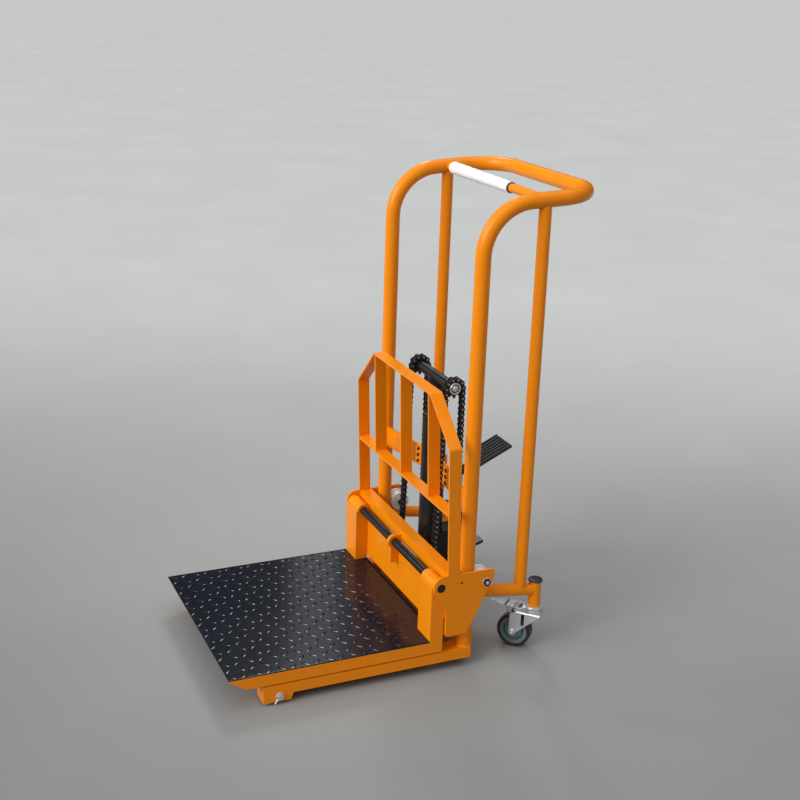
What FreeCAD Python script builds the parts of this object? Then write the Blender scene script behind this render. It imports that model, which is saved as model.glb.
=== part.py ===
# A foot-pumped hand stacker: a bent-tube mast with a push handle, a chain-lifted
# carriage with a hinged platform, two straddle legs and two braked swivel casters.
# Frame: +Z up from the floor, +X to the right-hand side, the platform towards -Y.
# The origin lies on the floor under the middle of the whole machine.

import FreeCAD
import Part
import Sketcher
import math
import operator
import os

# Driving dimensions in millimetres and degrees. "ahead" is measured from the mast
# line towards the platform, "back" from the mast line towards the handle.
SIZES = {
    # Clearances and the overrun of cuts
    "overrun": 2.0,
    "weld_gap": 0.12,
    "run_gap": 0.06,
    "rolling_gap": 0.3,
    # Stance
    "track": 580.0,
    "platform_reach": 692.0,
    "handle_reach": 361.0,
    # Mast tubes and push handle
    "mast_tube": 42.0,
    "mast_bend": 140.0,
    "handle_height": 1300.0,
    "handle_rise_angle": 3.0,
    "handle_corner": 110.0,
    # Rear stays and the cross tube of the handle
    "stay_tube": 34.0,
    "stay_back": 173.0,
    "cross_tube": 25.0,
    "sleeve_wall": 4.0,
    "sleeve_length": 310.0,
    "sleeve_shift": 95.0,
    # Outriggers and caster posts
    "outrigger_tube": 35.0,
    "outrigger_height": 223.0,
    "outrigger_fall_angle": 8.5,
    "post_tube": 35.0,
    "post_back": 223.0,
    "post_height": 77.0,
    "cap_rim": 3.2,
    "cap_taper": 2.5,
    "cap_thick": 7.0,
    # Legs and front wheels
    "leg_overhang": 27.0,
    "leg_width": 55.0,
    "leg_wall": 5.0,
    "leg_top": 58.0,
    "leg_depth": 30.0,
    "nose_overhang": 45.0,
    "leg_back": 12.0,
    "nose_length": 84.0,
    "nose_slope": 8.0,
    "nose_clearance": 8.0,
    "front_wheel": 50.0,
    "front_wheel_width": 40.0,
    "front_axle": 12.0,
    "front_axle_ahead": 552.0,
    "axle_head_thick": 6.0,
    "axle_nut": 21.0,
    "axle_nut_thick": 8.0,
    # Base channel and chain anchors
    "base_ahead": 25.0,
    "base_back": 45.0,
    "base_tail": 30.0,
    "base_tail_half": 150.0,
    "base_top": 72.0,
    "base_bottom": 34.0,
    "base_wall": 6.0,
    "anchor_thick": 8.0,
    "anchor_width": 18.0,
    # Hydraulic ram
    "lift_back": 23.4,
    "barrel": 70.0,
    "barrel_bore": 50.0,
    "barrel_floor": 12.0,
    "gland": 58.0,
    "gland_height": 12.0,
    "ram_rod": 32.0,
    "ram_foot": 240.0,
    "ram_showing": 63.0,
    # Crosshead and sprockets
    "sprocket_height": 760.0,
    "sprocket_spread": 114.5,
    "sprocket_teeth": 10,
    "sprocket_width": 9.0,
    "tooth_rise": 3.5,
    "crosshead_bar": 31.0,
    "crosshead_boss": 46.0,
    "crosshead_drop": 45.0,
    "sprocket_side_gap": 0.8,
    "sprocket_cap": 34.0,
    "sprocket_cap_thick": 4.0,
    "cap_screw": 12.0,
    "cap_screw_head": 7.0,
    # Roller chain
    "chain_pitch": 15.875,
    "chain_roller": 10.16,
    "chain_inside": 9.65,
    "link_height": 14.6,
    "link_plate": 1.9,
    "link_end": 5.4,
    "link_gap": 0.1,
    "front_anchor_drop": 32.0,
    "front_anchor_ahead": 17.0,
    "rear_anchor_rise": 150.0,
    # Mast cross plate with its collar and pedal ears
    "cross_plate_ahead": 10.7,
    "cross_plate_angle": 9.2,
    "cross_plate_thick": 7.0,
    "cross_plate_foot": 455.0,
    "cross_plate_height": 62.0,
    "collar_wall": 6.5,
    "collar_foot": 426.0,
    "pedal_ear_thick": 6.0,
    "pedal_ear_height": 28.0,
    # Pump
    "pump_width": 64.0,
    "pump_back": 142.0,
    "pump_foot": 150.0,
    "pump_top": 285.0,
    "plunger": 14.0,
    "plunger_back": 116.0,
    "plunger_depth": 90.0,
    "plunger_foot": 60.0,
    "pump_sleeve": 34.0,
    "pump_sleeve_height": 44.0,
    "pump_nut": 30.0,
    "pump_nut_height": 12.0,
    # Pump pedal
    "pedal_pivot_back": 80.0,
    "pedal_pivot_height": 440.0,
    "pedal_angle": 25.0,
    "pedal_pin": 14.0,
    "pedal_boss": 26.0,
    "pedal_arm_width": 30.0,
    "pedal_arm_thick": 12.0,
    "pedal_arm_length": 100.0,
    "pad_start": 84.0,
    "pad_length": 117.0,
    "pad_width": 94.0,
    "pad_thick": 7.0,
    "pad_ribs": 7,
    "pad_rib_height": 4.0,
    "pad_rib_width": 6.0,
    # Release pedal
    "release_pivot_back": 153.0,
    "release_pivot_height": 206.0,
    "release_angle": 16.0,
    "release_pin": 8.0,
    "release_boss": 16.0,
    "release_width": 20.0,
    "release_thick": 8.0,
    "release_length": 46.0,
    "release_pad": 36.0,
    "release_pad_length": 32.0,
    "release_ear_thick": 6.0,
    # Carriage
    "plate_clearance": 28.0,
    "plate_thick": 6.0,
    "plate_top": 296.0,
    "plate_back": 70.0,
    "plate_heel": 24.0,
    "plate_nose_drop": 14.0,
    "plate_web_ahead": 74.0,
    "plate_web_top": 184.0,
    "plate_foot": 109.0,
    "plate_foot_ahead": 9.0,
    "plate_nose": 22.0,
    "plate_nose_round": 30.0,
    "plate_corner": 8.0,
    "plate_lip": 20.0,
    "plate_lip_thick": 5.0,
    "spare_hole": 9.0,
    "spare_hole_ahead": 30.0,
    "spare_hole_drop": 28.0,
    "beam_ahead": 71.0,
    "beam_leg": 36.0,
    "beam_wall": 5.0,
    "front_plate_ahead": 78.0,
    "front_plate_thick": 6.0,
    "front_plate_top": 240.0,
    "front_plate_foot": 112.0,
    "front_plate_step": 168.0,
    "front_plate_inset": 56.0,
    "support_thick": 12.0,
    "support_eye": 20.8,
    "support_foot": 196.0,
    "support_depth": 26.0,
    "fork_shaft": 25.0,
    "shaft_ahead": 92.0,
    "shaft_height": 262.0,
    # Guide rollers
    "roller_waist": 24.76,
    "roller_flare": 4.34,
    "roller_width": 40.0,
    "roller_groove": 18.0,
    "roller_land": 6.0,
    "upper_roller_height": 259.0,
    "lower_roller_height": 132.0,
    "lower_roller_waist": 21.0,
    "roller_pin": 12.0,
    "roller_side_gap": 0.5,
    "roller_tail": 4.0,
    "roller_nut": 22.0,
    "roller_nut_thick": 9.0,
    # Backrest
    "backrest_ahead": 73.0,
    "backrest_depth": 36.0,
    "backrest_bar": 6.0,
    "backrest_shoulder": 664.0,
    "backrest_top": 784.0,
    "backrest_top_half": 197.0,
    "backrest_rail_height": 473.0,
    "backrest_bar_spread": 187.0,
    "backrest_lean_angle": 2.0,
    # Fork arms and platform
    "fork_width": 82.0,
    "fork_foot": 62.0,
    "fork_wall": 5.0,
    "fork_sleeve": 41.0,
    "shank_ahead": 117.0,
    "tip_back": 46.0,
    "tip_inset": 3.0,
    "tip_edge": 4.0,
    "platform_height": 100.0,
    "platform_thick": 4.0,
    # Casters
    "caster_height": 140.0,
    "caster_wheel": 100.0,
    "caster_tread": 84.0,
    "caster_width": 38.0,
    "caster_rim": 30.0,
    "caster_hub": 30.0,
    "tyre_shoulder": 4.0,
    "tyre_flat": 26.0,
    "caster_trail": 52.0,
    "caster_turn_angle": 132.0,
    "caster_axle": 10.0,
    "caster_head": 54.0,
    "caster_neck": 44.0,
    "caster_race": 48.0,
    "caster_race_height": 7.0,
    "caster_race_gap": 0.3,
    "yoke_crown": 120.0,
    "yoke_plate": 5.0,
    "yoke_cheek": 3.0,
    "yoke_gap": 44.0,
    "yoke_front": 27.0,
    "yoke_back": 38.0,
    "yoke_eye": 14.0,
    "yoke_skirt": 24.0,
    "yoke_skirt_drop": 12.0,
    "axle_cap": 18.0,
    "axle_cap_thick": 6.0,
    "brake_pivot": 46.0,
    "brake_pivot_height": 124.5,
    "brake_pin": 5.0,
    "brake_curl": 9.0,
    "brake_width": 34.0,
    "brake_plate": 3.0,
    "brake_length": 84.0,
    "brake_tip": 8.0,
    "brake_taper_start": 36.0,
    "brake_shoe": 21.5,
    "brake_shoe_length": 16.0,
    "brake_shoe_start": 14.0,
}
# Flats that stand for the round of a chain roller, and of its seat on the sprocket
ROLLER_FLATS = 6
SEAT_CHORDS = 5


class Size:
    """A size with its value now and the sheet expression that it follows."""

    def __init__(self, value, text):
        self.value = float(value)
        self.text = text

    def __add__(self, other):
        return joined(self, "+", other)

    def __radd__(self, other):
        return joined(other, "+", self)

    def __sub__(self, other):
        return joined(self, "-", other)

    def __rsub__(self, other):
        return joined(other, "-", self)

    def __mul__(self, other):
        return joined(self, "*", other)

    def __rmul__(self, other):
        return joined(other, "*", self)

    def __truediv__(self, other):
        return joined(self, "/", other)

    def __rtruediv__(self, other):
        return joined(other, "/", self)

    def __neg__(self):
        return Size(-self.value, f"(-{self.text})")


SIGNS = {
    "+": operator.add,
    "-": operator.sub,
    "*": operator.mul,
    "/": operator.truediv,
}


def as_size(thing):
    """A plain number as a size of its own."""
    if isinstance(thing, Size):
        return thing
    return Size(thing, repr(thing))


def joined(left, sign, right):
    """Two sizes under one sign of arithmetic."""
    left = as_size(left)
    right = as_size(right)
    value = SIGNS[sign](left.value, right.value)
    return Size(value, f"({left.text} {sign} {right.text})")


def cosine(angle):
    return Size(math.cos(math.radians(angle.value)), f"cos({angle.text})")


def sine(angle):
    return Size(math.sin(math.radians(angle.value)), f"sin({angle.text})")


def tangent(angle):
    return Size(math.tan(math.radians(angle.value)), f"tan({angle.text})")


def root(area):
    return Size(math.sqrt(area.value), f"sqrt({area.text})")


doc = FreeCAD.newDocument("hand_stacker")
sheet = doc.addObject("Spreadsheet::Sheet", "Sizes")
for row, (word, number) in enumerate(SIZES.items(), start=1):
    sheet.set(f"A{row}", word)
    sheet.set(f"B{row}", str(number))
    sheet.setAlias(f"B{row}", word)
doc.recompute()


class Sheet:
    """Gives each named cell of the sheet as a size."""

    def __getattr__(self, word):
        return Size(sheet.get(word), f"Sizes.{word}")


s = Sheet()
ZERO = as_size(0)
NODES = []

# Places that several pieces share
mast_y = (s.platform_reach - s.handle_reach) / 2
half_track = s.track / 2
mast_radius = s.mast_tube / 2
lift_y = mast_y + s.lift_back
sprocket_radius = s.chain_pitch / 2 / sine(180 / s.sprocket_teeth)
leg_outer = half_track + s.leg_overhang
leg_inner = leg_outer - s.leg_width
leg_ahead = s.front_axle_ahead + s.nose_overhang
shaft_y = mast_y - s.shaft_ahead
plate_inner = half_track + s.plate_clearance
plate_outer = plate_inner + s.plate_thick
bend_run = s.mast_bend * tangent(45 - s.handle_rise_angle / 2)
fork_top = s.platform_height - s.platform_thick
barrel_top = s.sprocket_height - s.crosshead_drop - s.ram_showing - s.gland_height

ALONG = {
    "x": FreeCAD.Rotation(FreeCAD.Vector(0, 1, 0), 90),
    "y": FreeCAD.Rotation(FreeCAD.Vector(1, 0, 0), -90),
    "z": FreeCAD.Rotation(),
}
SIDES = (("right", 1), ("left", -1))


def keep(thing, label):
    """Takes an object of the document as one piece of the machine."""
    thing.Label = label
    NODES.append(thing)
    return thing


def bind(thing, name, size):
    size = as_size(size)
    setattr(thing, name, size.value)
    thing.setExpression(name, size.text)


def place(thing, at, rotation=None, axis=None, angle=None):
    """Holds an object's place to the sheet, turned by a fixed or a named angle."""
    at = [as_size(c) for c in at]
    if axis is not None:
        rotation = FreeCAD.Rotation(FreeCAD.Vector(*axis), angle.value)
    spot = FreeCAD.Vector(*(c.value for c in at))
    thing.Placement = FreeCAD.Placement(spot, rotation or FreeCAD.Rotation())
    for letter, c in zip("xyz", at):
        thing.setExpression(f"Placement.Base.{letter}", c.text)
    if axis is not None:
        thing.setExpression("Placement.Rotation.Angle", angle.text)
    return thing


def block(name, low, high):
    """A box between two corners."""
    box = doc.addObject("Part::Box", name)
    for edge, a, b in zip(("Length", "Width", "Height"), low, high):
        bind(box, edge, b - a)
    return place(box, low)


def drum(name, foot, direction, radius, length):
    """A round bar from its foot along one axis."""
    bar = doc.addObject("Part::Cylinder", name)
    bind(bar, "Radius", radius)
    bind(bar, "Height", length)
    return place(bar, foot, ALONG[direction])


def cone(name, foot, low_radius, high_radius, height):
    """A round piece that widens or narrows upwards from its foot."""
    solid = doc.addObject("Part::Cone", name)
    bind(solid, "Radius1", low_radius)
    bind(solid, "Radius2", high_radius)
    bind(solid, "Height", height)
    return place(solid, foot)


def hex_nut(name, foot, direction, across, length):
    """A six-sided bar from its foot along one axis."""
    nut = doc.addObject("Part::Prism", name)
    nut.Polygon = 6
    bind(nut, "Circumradius", across / 2)
    bind(nut, "Height", length)
    return place(nut, foot, ALONG[direction])


def cut(name, base, *tools):
    """One piece less all the others, in one step."""
    result = doc.addObject("Part::Cut", name)
    result.Base = base
    result.Tool = tools[0] if len(tools) == 1 else group(f"{name}_cuts", *tools)
    return result


def fuse(name, *parts):
    result = doc.addObject("Part::MultiFuse", name)
    result.Shapes = list(parts)
    result.Refine = True
    return result


def group(name, *parts):
    """Separate solids that share one node."""
    result = doc.addObject("Part::Compound", name)
    result.Links = list(parts)
    return result


def new_body(name):
    return doc.addObject("PartDesign::Body", name)


def new_sketch(body, role, offset=None):
    """A sketch on one of the body's own origin planes, or offset from it."""
    sketch = body.newObject("Sketcher::SketchObject", "Outline")
    for plane in body.Origin.OriginFeatures:
        if plane.Role == role:
            sketch.AttachmentSupport = [(plane, "")]
    sketch.MapMode = "FlatFace"
    if offset is not None:
        away = FreeCAD.Vector(0, 0, offset.value)
        sketch.AttachmentOffset = FreeCAD.Placement(away, FreeCAD.Rotation())
        sketch.setExpression("AttachmentOffset.Base.z", offset.text)
    return sketch


def flat(point):
    return FreeCAD.Vector(as_size(point[0]).value, as_size(point[1]).value, 0)


def hold(sketch, shape, end, point):
    """Ties one point of a sketch to the sheet."""
    for kind, size, axis in zip(("DistanceX", "DistanceY"), point, (-2, -1)):
        size = as_size(size)
        if size.text == ZERO.text:
            sketch.addConstraint(Sketcher.Constraint("PointOnObject", shape, end, axis))
            continue
        rule = Sketcher.Constraint(kind, -1, 1, shape, end, size.value)
        index = sketch.addConstraint(rule)
        sketch.setExpression(f"Constraints[{index}]", size.text)


def measure(sketch, kind, shape, size):
    index = sketch.addConstraint(Sketcher.Constraint(kind, shape, size.value))
    sketch.setExpression(f"Constraints[{index}]", size.text)


def draw_outline(sketch, points):
    """A closed run of straight lines with every corner tied to the sheet."""
    first = sketch.GeometryCount
    count = len(points)
    for i in range(count):
        line = Part.LineSegment(flat(points[i]), flat(points[(i + 1) % count]))
        sketch.addGeometry(line, False)
    for i in range(count):
        after = first + (i + 1) % count
        sketch.addConstraint(Sketcher.Constraint("Coincident", first + i, 2, after, 1))
    for i, point in enumerate(points):
        hold(sketch, first + i, 1, point)


def draw_circle(sketch, centre, diameter):
    diameter = as_size(diameter)
    ring = Part.Circle(flat(centre), FreeCAD.Vector(0, 0, 1), diameter.value / 2)
    shape = sketch.addGeometry(ring, False)
    measure(sketch, "Diameter", shape, diameter)
    if as_size(centre[0]).text == as_size(centre[1]).text == ZERO.text:
        sketch.addConstraint(Sketcher.Constraint("Coincident", shape, 3, -1, 1))
    else:
        hold(sketch, shape, 3, centre)


def draw_line(sketch, start, end):
    shape = sketch.addGeometry(Part.LineSegment(flat(start), flat(end)), False)
    hold(sketch, shape, 1, start)
    hold(sketch, shape, 2, end)
    return shape


def draw_arc(sketch, start, end, centre, radius):
    """An arc from start to end; its start stays free to meet the line before it."""
    middle = flat(centre)
    from_start = flat(start) - middle
    from_end = flat(end) - middle
    leftwards = from_start.cross(from_end).z > 0
    angles = [math.atan2(v.y, v.x) for v in (from_start, from_end)]
    if not leftwards:
        angles.reverse()
    ring = Part.Circle(middle, FreeCAD.Vector(0, 0, 1), radius.value)
    shape = sketch.addGeometry(Part.ArcOfCircle(ring, *angles), False)
    measure(sketch, "Radius", shape, radius)
    return shape, (1, 2) if leftwards else (2, 1)


def meet(sketch, shape, end, other, other_end):
    sketch.addConstraint(Sketcher.Constraint("Coincident", shape, end, other, other_end))


def pad(body, sketch, length, both_ways=False):
    feature = body.newObject("PartDesign::Pad", "Pad")
    feature.Profile = sketch
    bind(feature, "Length", length)
    if both_ways:
        feature.SideType = "Symmetric"
    return feature


def round_corners(body, feature, corners, radius):
    """Rounds the edges of an extrusion that run square through the given corners."""
    doc.recompute()
    names = []
    for index, edge in enumerate(feature.Shape.Edges, start=1):
        ends = [v.Point for v in edge.Vertexes]
        for u, v in corners:
            spot = FreeCAD.Vector(0, u.value, v.value)
            flat_ends = [FreeCAD.Vector(0, p.y, p.z) for p in ends]
            if len(ends) == 2 and all(p.isEqual(spot, s.run_gap.value) for p in flat_ends):
                names.append(f"Edge{index}")
    fillet = body.newObject("PartDesign::Fillet", "Fillet")
    fillet.Base = (feature, names)
    bind(fillet, "Radius", radius)
    return fillet


def side_profile(name, outline, width, holes=()):
    """A plate or bar with its outline seen from the side, centred across its width."""
    body = new_body(name)
    sketch = new_sketch(body, "YZ_Plane")
    draw_outline(sketch, outline)
    for centre, diameter in holes:
        draw_circle(sketch, centre, diameter)
    return body, pad(body, sketch, width, both_ways=True)


def turned(name, outline, at, direction="x"):
    """A body turned about one axis: points are radius and distance along the axis."""
    body = new_body(name)
    sketch = new_sketch(body, "XZ_Plane")
    draw_outline(sketch, outline)
    feature = body.newObject("PartDesign::Revolution", "Revolution")
    feature.Profile = sketch
    feature.ReferenceAxis = (sketch, ["V_Axis"])
    feature.Angle = 360
    return place(body, at, ALONG[direction])


def mast_cope(name, side, radius):
    """The round space that a mast tube takes up, for pieces welded against it."""
    return drum(name, (side * half_track, mast_y, ZERO), "z", radius, s.handle_height)


# Mast and push handle


def make_mast_tube(word, side):
    """A front upright: straight up from the leg, then bent back into the handle."""
    body = new_body(f"mast_upright_{word}")
    foot = s.leg_top
    ring = new_sketch(body, "XY_Plane", foot)
    draw_circle(ring, (0, 0), s.mast_tube)
    path = new_sketch(body, "YZ_Plane")
    bend_foot = s.handle_height - bend_run
    bend_end = (
        bend_run * cosine(s.handle_rise_angle),
        s.handle_height + bend_run * sine(s.handle_rise_angle),
    )
    straight = draw_line(path, (0, foot), (0, bend_foot))
    centre = (s.mast_bend, bend_foot)
    arc, ends = draw_arc(path, (0, bend_foot), bend_end, centre, s.mast_bend)
    meet(path, straight, 2, arc, ends[0])
    hold(path, arc, ends[1], bend_end)
    tube = body.newObject("PartDesign::AdditivePipe", "Tube")
    tube.Profile = ring
    tube.Spine = (path, ["Edge1", "Edge2"])
    place(body, (side * half_track, mast_y, 0))
    keep(body, f"mast_upright_{word}")


def make_handle_loop():
    """The push handle: both side tubes and the rear bar, bent from one tube."""
    body = new_body("handle_loop")
    ring = new_sketch(body, "XZ_Plane", -bend_run)
    draw_circle(ring, (half_track, 0), s.mast_tube)
    path = new_sketch(body, "XY_Plane")
    rear = (s.handle_reach - mast_radius) / cosine(s.handle_rise_angle)
    shoulder = rear - s.handle_corner
    half_bar = half_track - s.handle_corner
    right = draw_line(path, (half_track, bend_run), (half_track, shoulder))
    first, first_ends = draw_arc(
        path, (half_track, shoulder), (half_bar, rear), (half_bar, shoulder), s.handle_corner
    )
    bar = draw_line(path, (half_bar, rear), (-half_bar, rear))
    last, last_ends = draw_arc(
        path, (-half_bar, rear), (-half_track, shoulder), (-half_bar, shoulder), s.handle_corner
    )
    left = draw_line(path, (-half_track, shoulder), (-half_track, bend_run))
    meet(path, right, 2, first, first_ends[0])
    meet(path, first, first_ends[1], bar, 1)
    meet(path, bar, 2, last, last_ends[0])
    meet(path, last, last_ends[1], left, 1)
    tube = body.newObject("PartDesign::AdditivePipe", "Tube")
    tube.Profile = ring
    tube.Spine = (path, [f"Edge{n}" for n in range(1, 6)])
    place(body, (0, mast_y, s.handle_height), axis=(1, 0, 0), angle=s.handle_rise_angle)
    keep(body, "handle_loop")


def side_tube_cope(name, side):
    """The round space of a handle side tube, for the tubes welded to it."""
    bar = doc.addObject("Part::Cylinder", name)
    bind(bar, "Radius", mast_radius + s.weld_gap)
    bind(bar, "Height", s.handle_reach)
    at = (side * half_track, mast_y, s.handle_height)
    return place(bar, at, axis=(1, 0, 0), angle=s.handle_rise_angle - 90)


def stay_top():
    return s.handle_height + s.stay_back * tangent(s.handle_rise_angle)


def make_stays():
    """Straight rear uprights from the outriggers up to the handle side tubes."""
    stays = []
    for word, side in SIDES:
        name = f"rear_upright_{word}"
        foot = s.outrigger_height - s.stay_back * tangent(s.outrigger_fall_angle)
        at = (side * half_track, mast_y + s.stay_back, foot)
        tube = drum(f"{name}_tube", at, "z", s.stay_tube / 2, stay_top() - foot)
        top = side_tube_cope(f"{name}_top_cope", side)
        below = outrigger_bar(f"{name}_foot_cope", side, s.outrigger_tube / 2 + s.weld_gap)
        stays.append(cut(name, tube, top, below))
    keep(group("rear_uprights", *stays), "rear_uprights")


def make_cross_tube():
    """The tube across the handle, with the white sleeve wrapped round it."""
    at = (-half_track, mast_y + s.stay_back, stay_top())
    tube = drum("cross_tube_blank", at, "x", s.cross_tube / 2, s.track)
    copes = [side_tube_cope(f"cross_tube_cope_{word}", side) for word, side in SIDES]
    keep(cut("handle_cross_tube", tube, *copes), "handle_cross_tube")
    low = (-s.sleeve_shift - s.sleeve_length / 2, mast_y + s.stay_back, stay_top())
    radius = s.cross_tube / 2
    outside = drum("sleeve_outside", low, "x", radius + s.sleeve_wall, s.sleeve_length)
    inside = drum("sleeve_bore", low, "x", radius + s.weld_gap, s.sleeve_length)
    keep(cut("cross_tube_sleeve", outside, inside), "cross_tube_sleeve")


# Outriggers and caster posts


def outrigger_bar(name, side, radius):
    """A round bar along an outrigger, from the mast line back past the post."""
    bar = doc.addObject("Part::Cylinder", name)
    bind(bar, "Radius", radius)
    bind(bar, "Height", s.post_back / cosine(s.outrigger_fall_angle))
    at = (side * half_track, mast_y, s.outrigger_height)
    return place(bar, at, axis=(1, 0, 0), angle=-90 - s.outrigger_fall_angle)


def make_outriggers():
    bars = []
    for word, side in SIDES:
        name = f"outrigger_{word}"
        tube = outrigger_bar(f"{name}_tube", side, s.outrigger_tube / 2)
        mast = mast_cope(f"{name}_mast_cope", side, mast_radius + s.weld_gap)
        post_at = (side * half_track, mast_y + s.post_back, ZERO)
        post_radius = s.post_tube / 2 + s.weld_gap
        post = drum(f"{name}_post_cope", post_at, "z", post_radius, s.handle_height)
        bars.append(cut(name, tube, mast, post))
    keep(group("outriggers", *bars), "outriggers")


def make_posts():
    """The posts at the outriggers' ends, with a cap above and a caster head below."""
    posts = []
    caps = []
    heads = []
    for word, side in SIDES:
        x = side * half_track
        y = mast_y + s.post_back
        foot = (x, y, s.caster_height)
        posts.append(drum(f"caster_post_{word}", foot, "z", s.post_tube / 2, s.post_height))
        rim = s.post_tube / 2 + s.cap_rim
        top = (x, y, s.caster_height + s.post_height)
        caps.append(cone(f"post_cap_{word}", top, rim, rim - s.cap_taper, s.cap_thick))
        neck = (x, y, s.yoke_crown + s.caster_race_height + s.caster_race_gap)
        heads.append(
            cone(
                f"caster_head_{word}",
                neck,
                s.caster_neck / 2,
                s.caster_head / 2,
                s.caster_height - neck[2],
            )
        )
    keep(group("caster_posts", *posts), "caster_posts")
    keep(group("post_caps", *caps), "post_caps")
    keep(group("caster_heads", *heads), "caster_heads")


# Legs and front wheels


def make_leg(word, side):
    """An inverted channel with a deeper nose round the front wheel."""
    name = f"leg_{word}"
    leg_foot = s.leg_top - s.leg_depth
    nose_back = leg_ahead - s.nose_length
    outline = [
        (-leg_ahead, s.nose_clearance),
        (-nose_back - s.nose_slope, s.nose_clearance),
        (-nose_back, leg_foot),
        (s.leg_back, leg_foot),
        (s.leg_back, s.leg_top),
        (-leg_ahead, s.leg_top),
    ]
    middle = side * (leg_outer - s.leg_width / 2)
    shell, _ = side_profile(f"{name}_shell", outline, s.leg_width)
    place(shell, (middle, mast_y, 0))
    half_inside = s.leg_width / 2 - s.leg_wall
    hollow = block(
        f"{name}_hollow",
        (middle - half_inside, mast_y - leg_ahead + s.leg_wall, -s.overrun),
        (middle + half_inside, mast_y + s.leg_back - s.leg_wall, s.leg_top - s.leg_wall),
    )
    axle_hole = drum(
        f"{name}_axle_hole",
        (middle - s.leg_width, mast_y - s.front_axle_ahead, s.front_wheel / 2),
        "x",
        s.front_axle / 2 + s.weld_gap,
        2 * s.leg_width,
    )
    keep(cut(name, shell, hollow, axle_hole), name)


def front_axle(word, side):
    """An axle bolt through the nose, its head inside and its nut outside."""
    y = mast_y - s.front_axle_ahead
    z = s.front_wheel / 2
    low = leg_inner if side > 0 else -leg_outer
    shank = drum(f"axle_shank_{word}", (low, y, z), "x", s.front_axle / 2, s.leg_width)
    head_x = leg_inner - s.axle_head_thick if side > 0 else -leg_inner
    head = hex_nut(f"axle_head_{word}", (head_x, y, z), "x", s.axle_nut, s.axle_head_thick)
    nut_x = leg_outer if side > 0 else -leg_outer - s.axle_nut_thick
    nut = hex_nut(f"axle_nut_{word}", (nut_x, y, z), "x", s.axle_nut, s.axle_nut_thick)
    return fuse(f"front_axle_{word}", shank, head, nut)


def make_front_wheel(word, side):
    radius = s.front_wheel / 2
    half = s.front_wheel_width / 2
    bore = s.front_axle / 2 + s.run_gap
    outline = [(bore, -half), (radius, -half), (radius, half), (bore, half)]
    middle = side * (leg_outer - s.leg_width / 2)
    at = (middle, mast_y - s.front_axle_ahead, radius)
    keep(turned(f"front_wheel_{word}", outline, at), f"front_wheel_{word}")


# Base channel and hydraulic ram


def chain_end(side, y, z, name, foot_low, foot_high):
    """A flat lug with a round end that carries the last chain pin."""
    x = side * s.sprocket_spread - s.anchor_thick / 2
    eye = drum(f"{name}_eye", (x, y, z), "x", s.anchor_width / 2, s.anchor_thick)
    low = (x, foot_low[0], foot_low[1])
    high = (x + s.anchor_thick, foot_high[0], foot_high[1])
    return eye, block(f"{name}_leg", low, high)


def rear_chain_y():
    return lift_y + sprocket_radius


def front_chain_y():
    return lift_y - sprocket_radius


def strand_links(lowest):
    """The odd number of links that fits between the sprocket and the lowest place of a pin."""
    room = (s.sprocket_height - lowest).value / s.chain_pitch.value
    return 2 * int((room - 1) / 2) + 1


def rear_links():
    return strand_links(s.base_top + s.rear_anchor_rise)


def front_links():
    return strand_links(s.plate_top - s.front_anchor_drop)


def front_anchor_y():
    return mast_y - s.front_anchor_ahead


def rear_anchor_z():
    return s.sprocket_height - rear_links() * s.chain_pitch


def front_anchor_z():
    return s.sprocket_height - front_links() * s.chain_pitch


def make_base_channel():
    """The channel between the legs, with the foot plate of the barrel and the chain anchors."""
    outside = block(
        "base_outside",
        (-leg_inner, mast_y - s.base_ahead, s.base_bottom),
        (leg_inner, mast_y + s.base_back, s.base_top),
    )
    inside = block(
        "base_inside",
        (-leg_inner - s.overrun, mast_y - s.base_ahead + s.base_wall, -s.overrun),
        (leg_inner + s.overrun, mast_y + s.base_back - s.base_wall, s.base_top - s.base_wall),
    )
    lugs = []
    for word, side in SIDES:
        half = s.anchor_width / 2
        lugs += chain_end(
            side,
            rear_chain_y(),
            rear_anchor_z(),
            f"rear_anchor_{word}",
            (rear_chain_y() - half, s.base_top),
            (rear_chain_y() + half, rear_anchor_z()),
        )
    tail = block(
        "base_tail_plate",
        (-s.base_tail_half, mast_y, s.base_top - s.base_wall),
        (s.base_tail_half, mast_y + s.base_back + s.base_tail, s.base_top),
    )
    channel = cut("base_bend", outside, inside)
    keep(fuse("base_channel", channel, tail, *lugs), "base_channel")


def make_ram():
    """The barrel on the base channel, its gland, and the plain ram."""
    axis = (0, lift_y, 0)
    wide = s.barrel / 2
    bore = s.barrel_bore / 2
    rod = s.ram_rod / 2
    floor = s.base_top + s.barrel_floor
    barrel = [
        (ZERO, s.base_top),
        (wide, s.base_top),
        (wide, barrel_top),
        (bore, barrel_top),
        (bore, floor),
        (ZERO, floor),
    ]
    keep(turned("cylinder_barrel", barrel, axis, "z"), "cylinder_barrel")
    gland_top = barrel_top + s.gland_height
    gland = [
        (rod + s.run_gap, barrel_top),
        (s.gland / 2, barrel_top),
        (s.gland / 2, gland_top),
        (rod + s.run_gap, gland_top),
    ]
    keep(turned("cylinder_gland", gland, axis, "z"), "cylinder_gland")
    foot = (ZERO, lift_y, s.ram_foot)
    length = s.sprocket_height - s.crosshead_drop - s.ram_foot
    keep(drum("lift_ram", foot, "z", rod, length), "lift_ram")


# Crosshead, sprockets and chains


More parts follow.
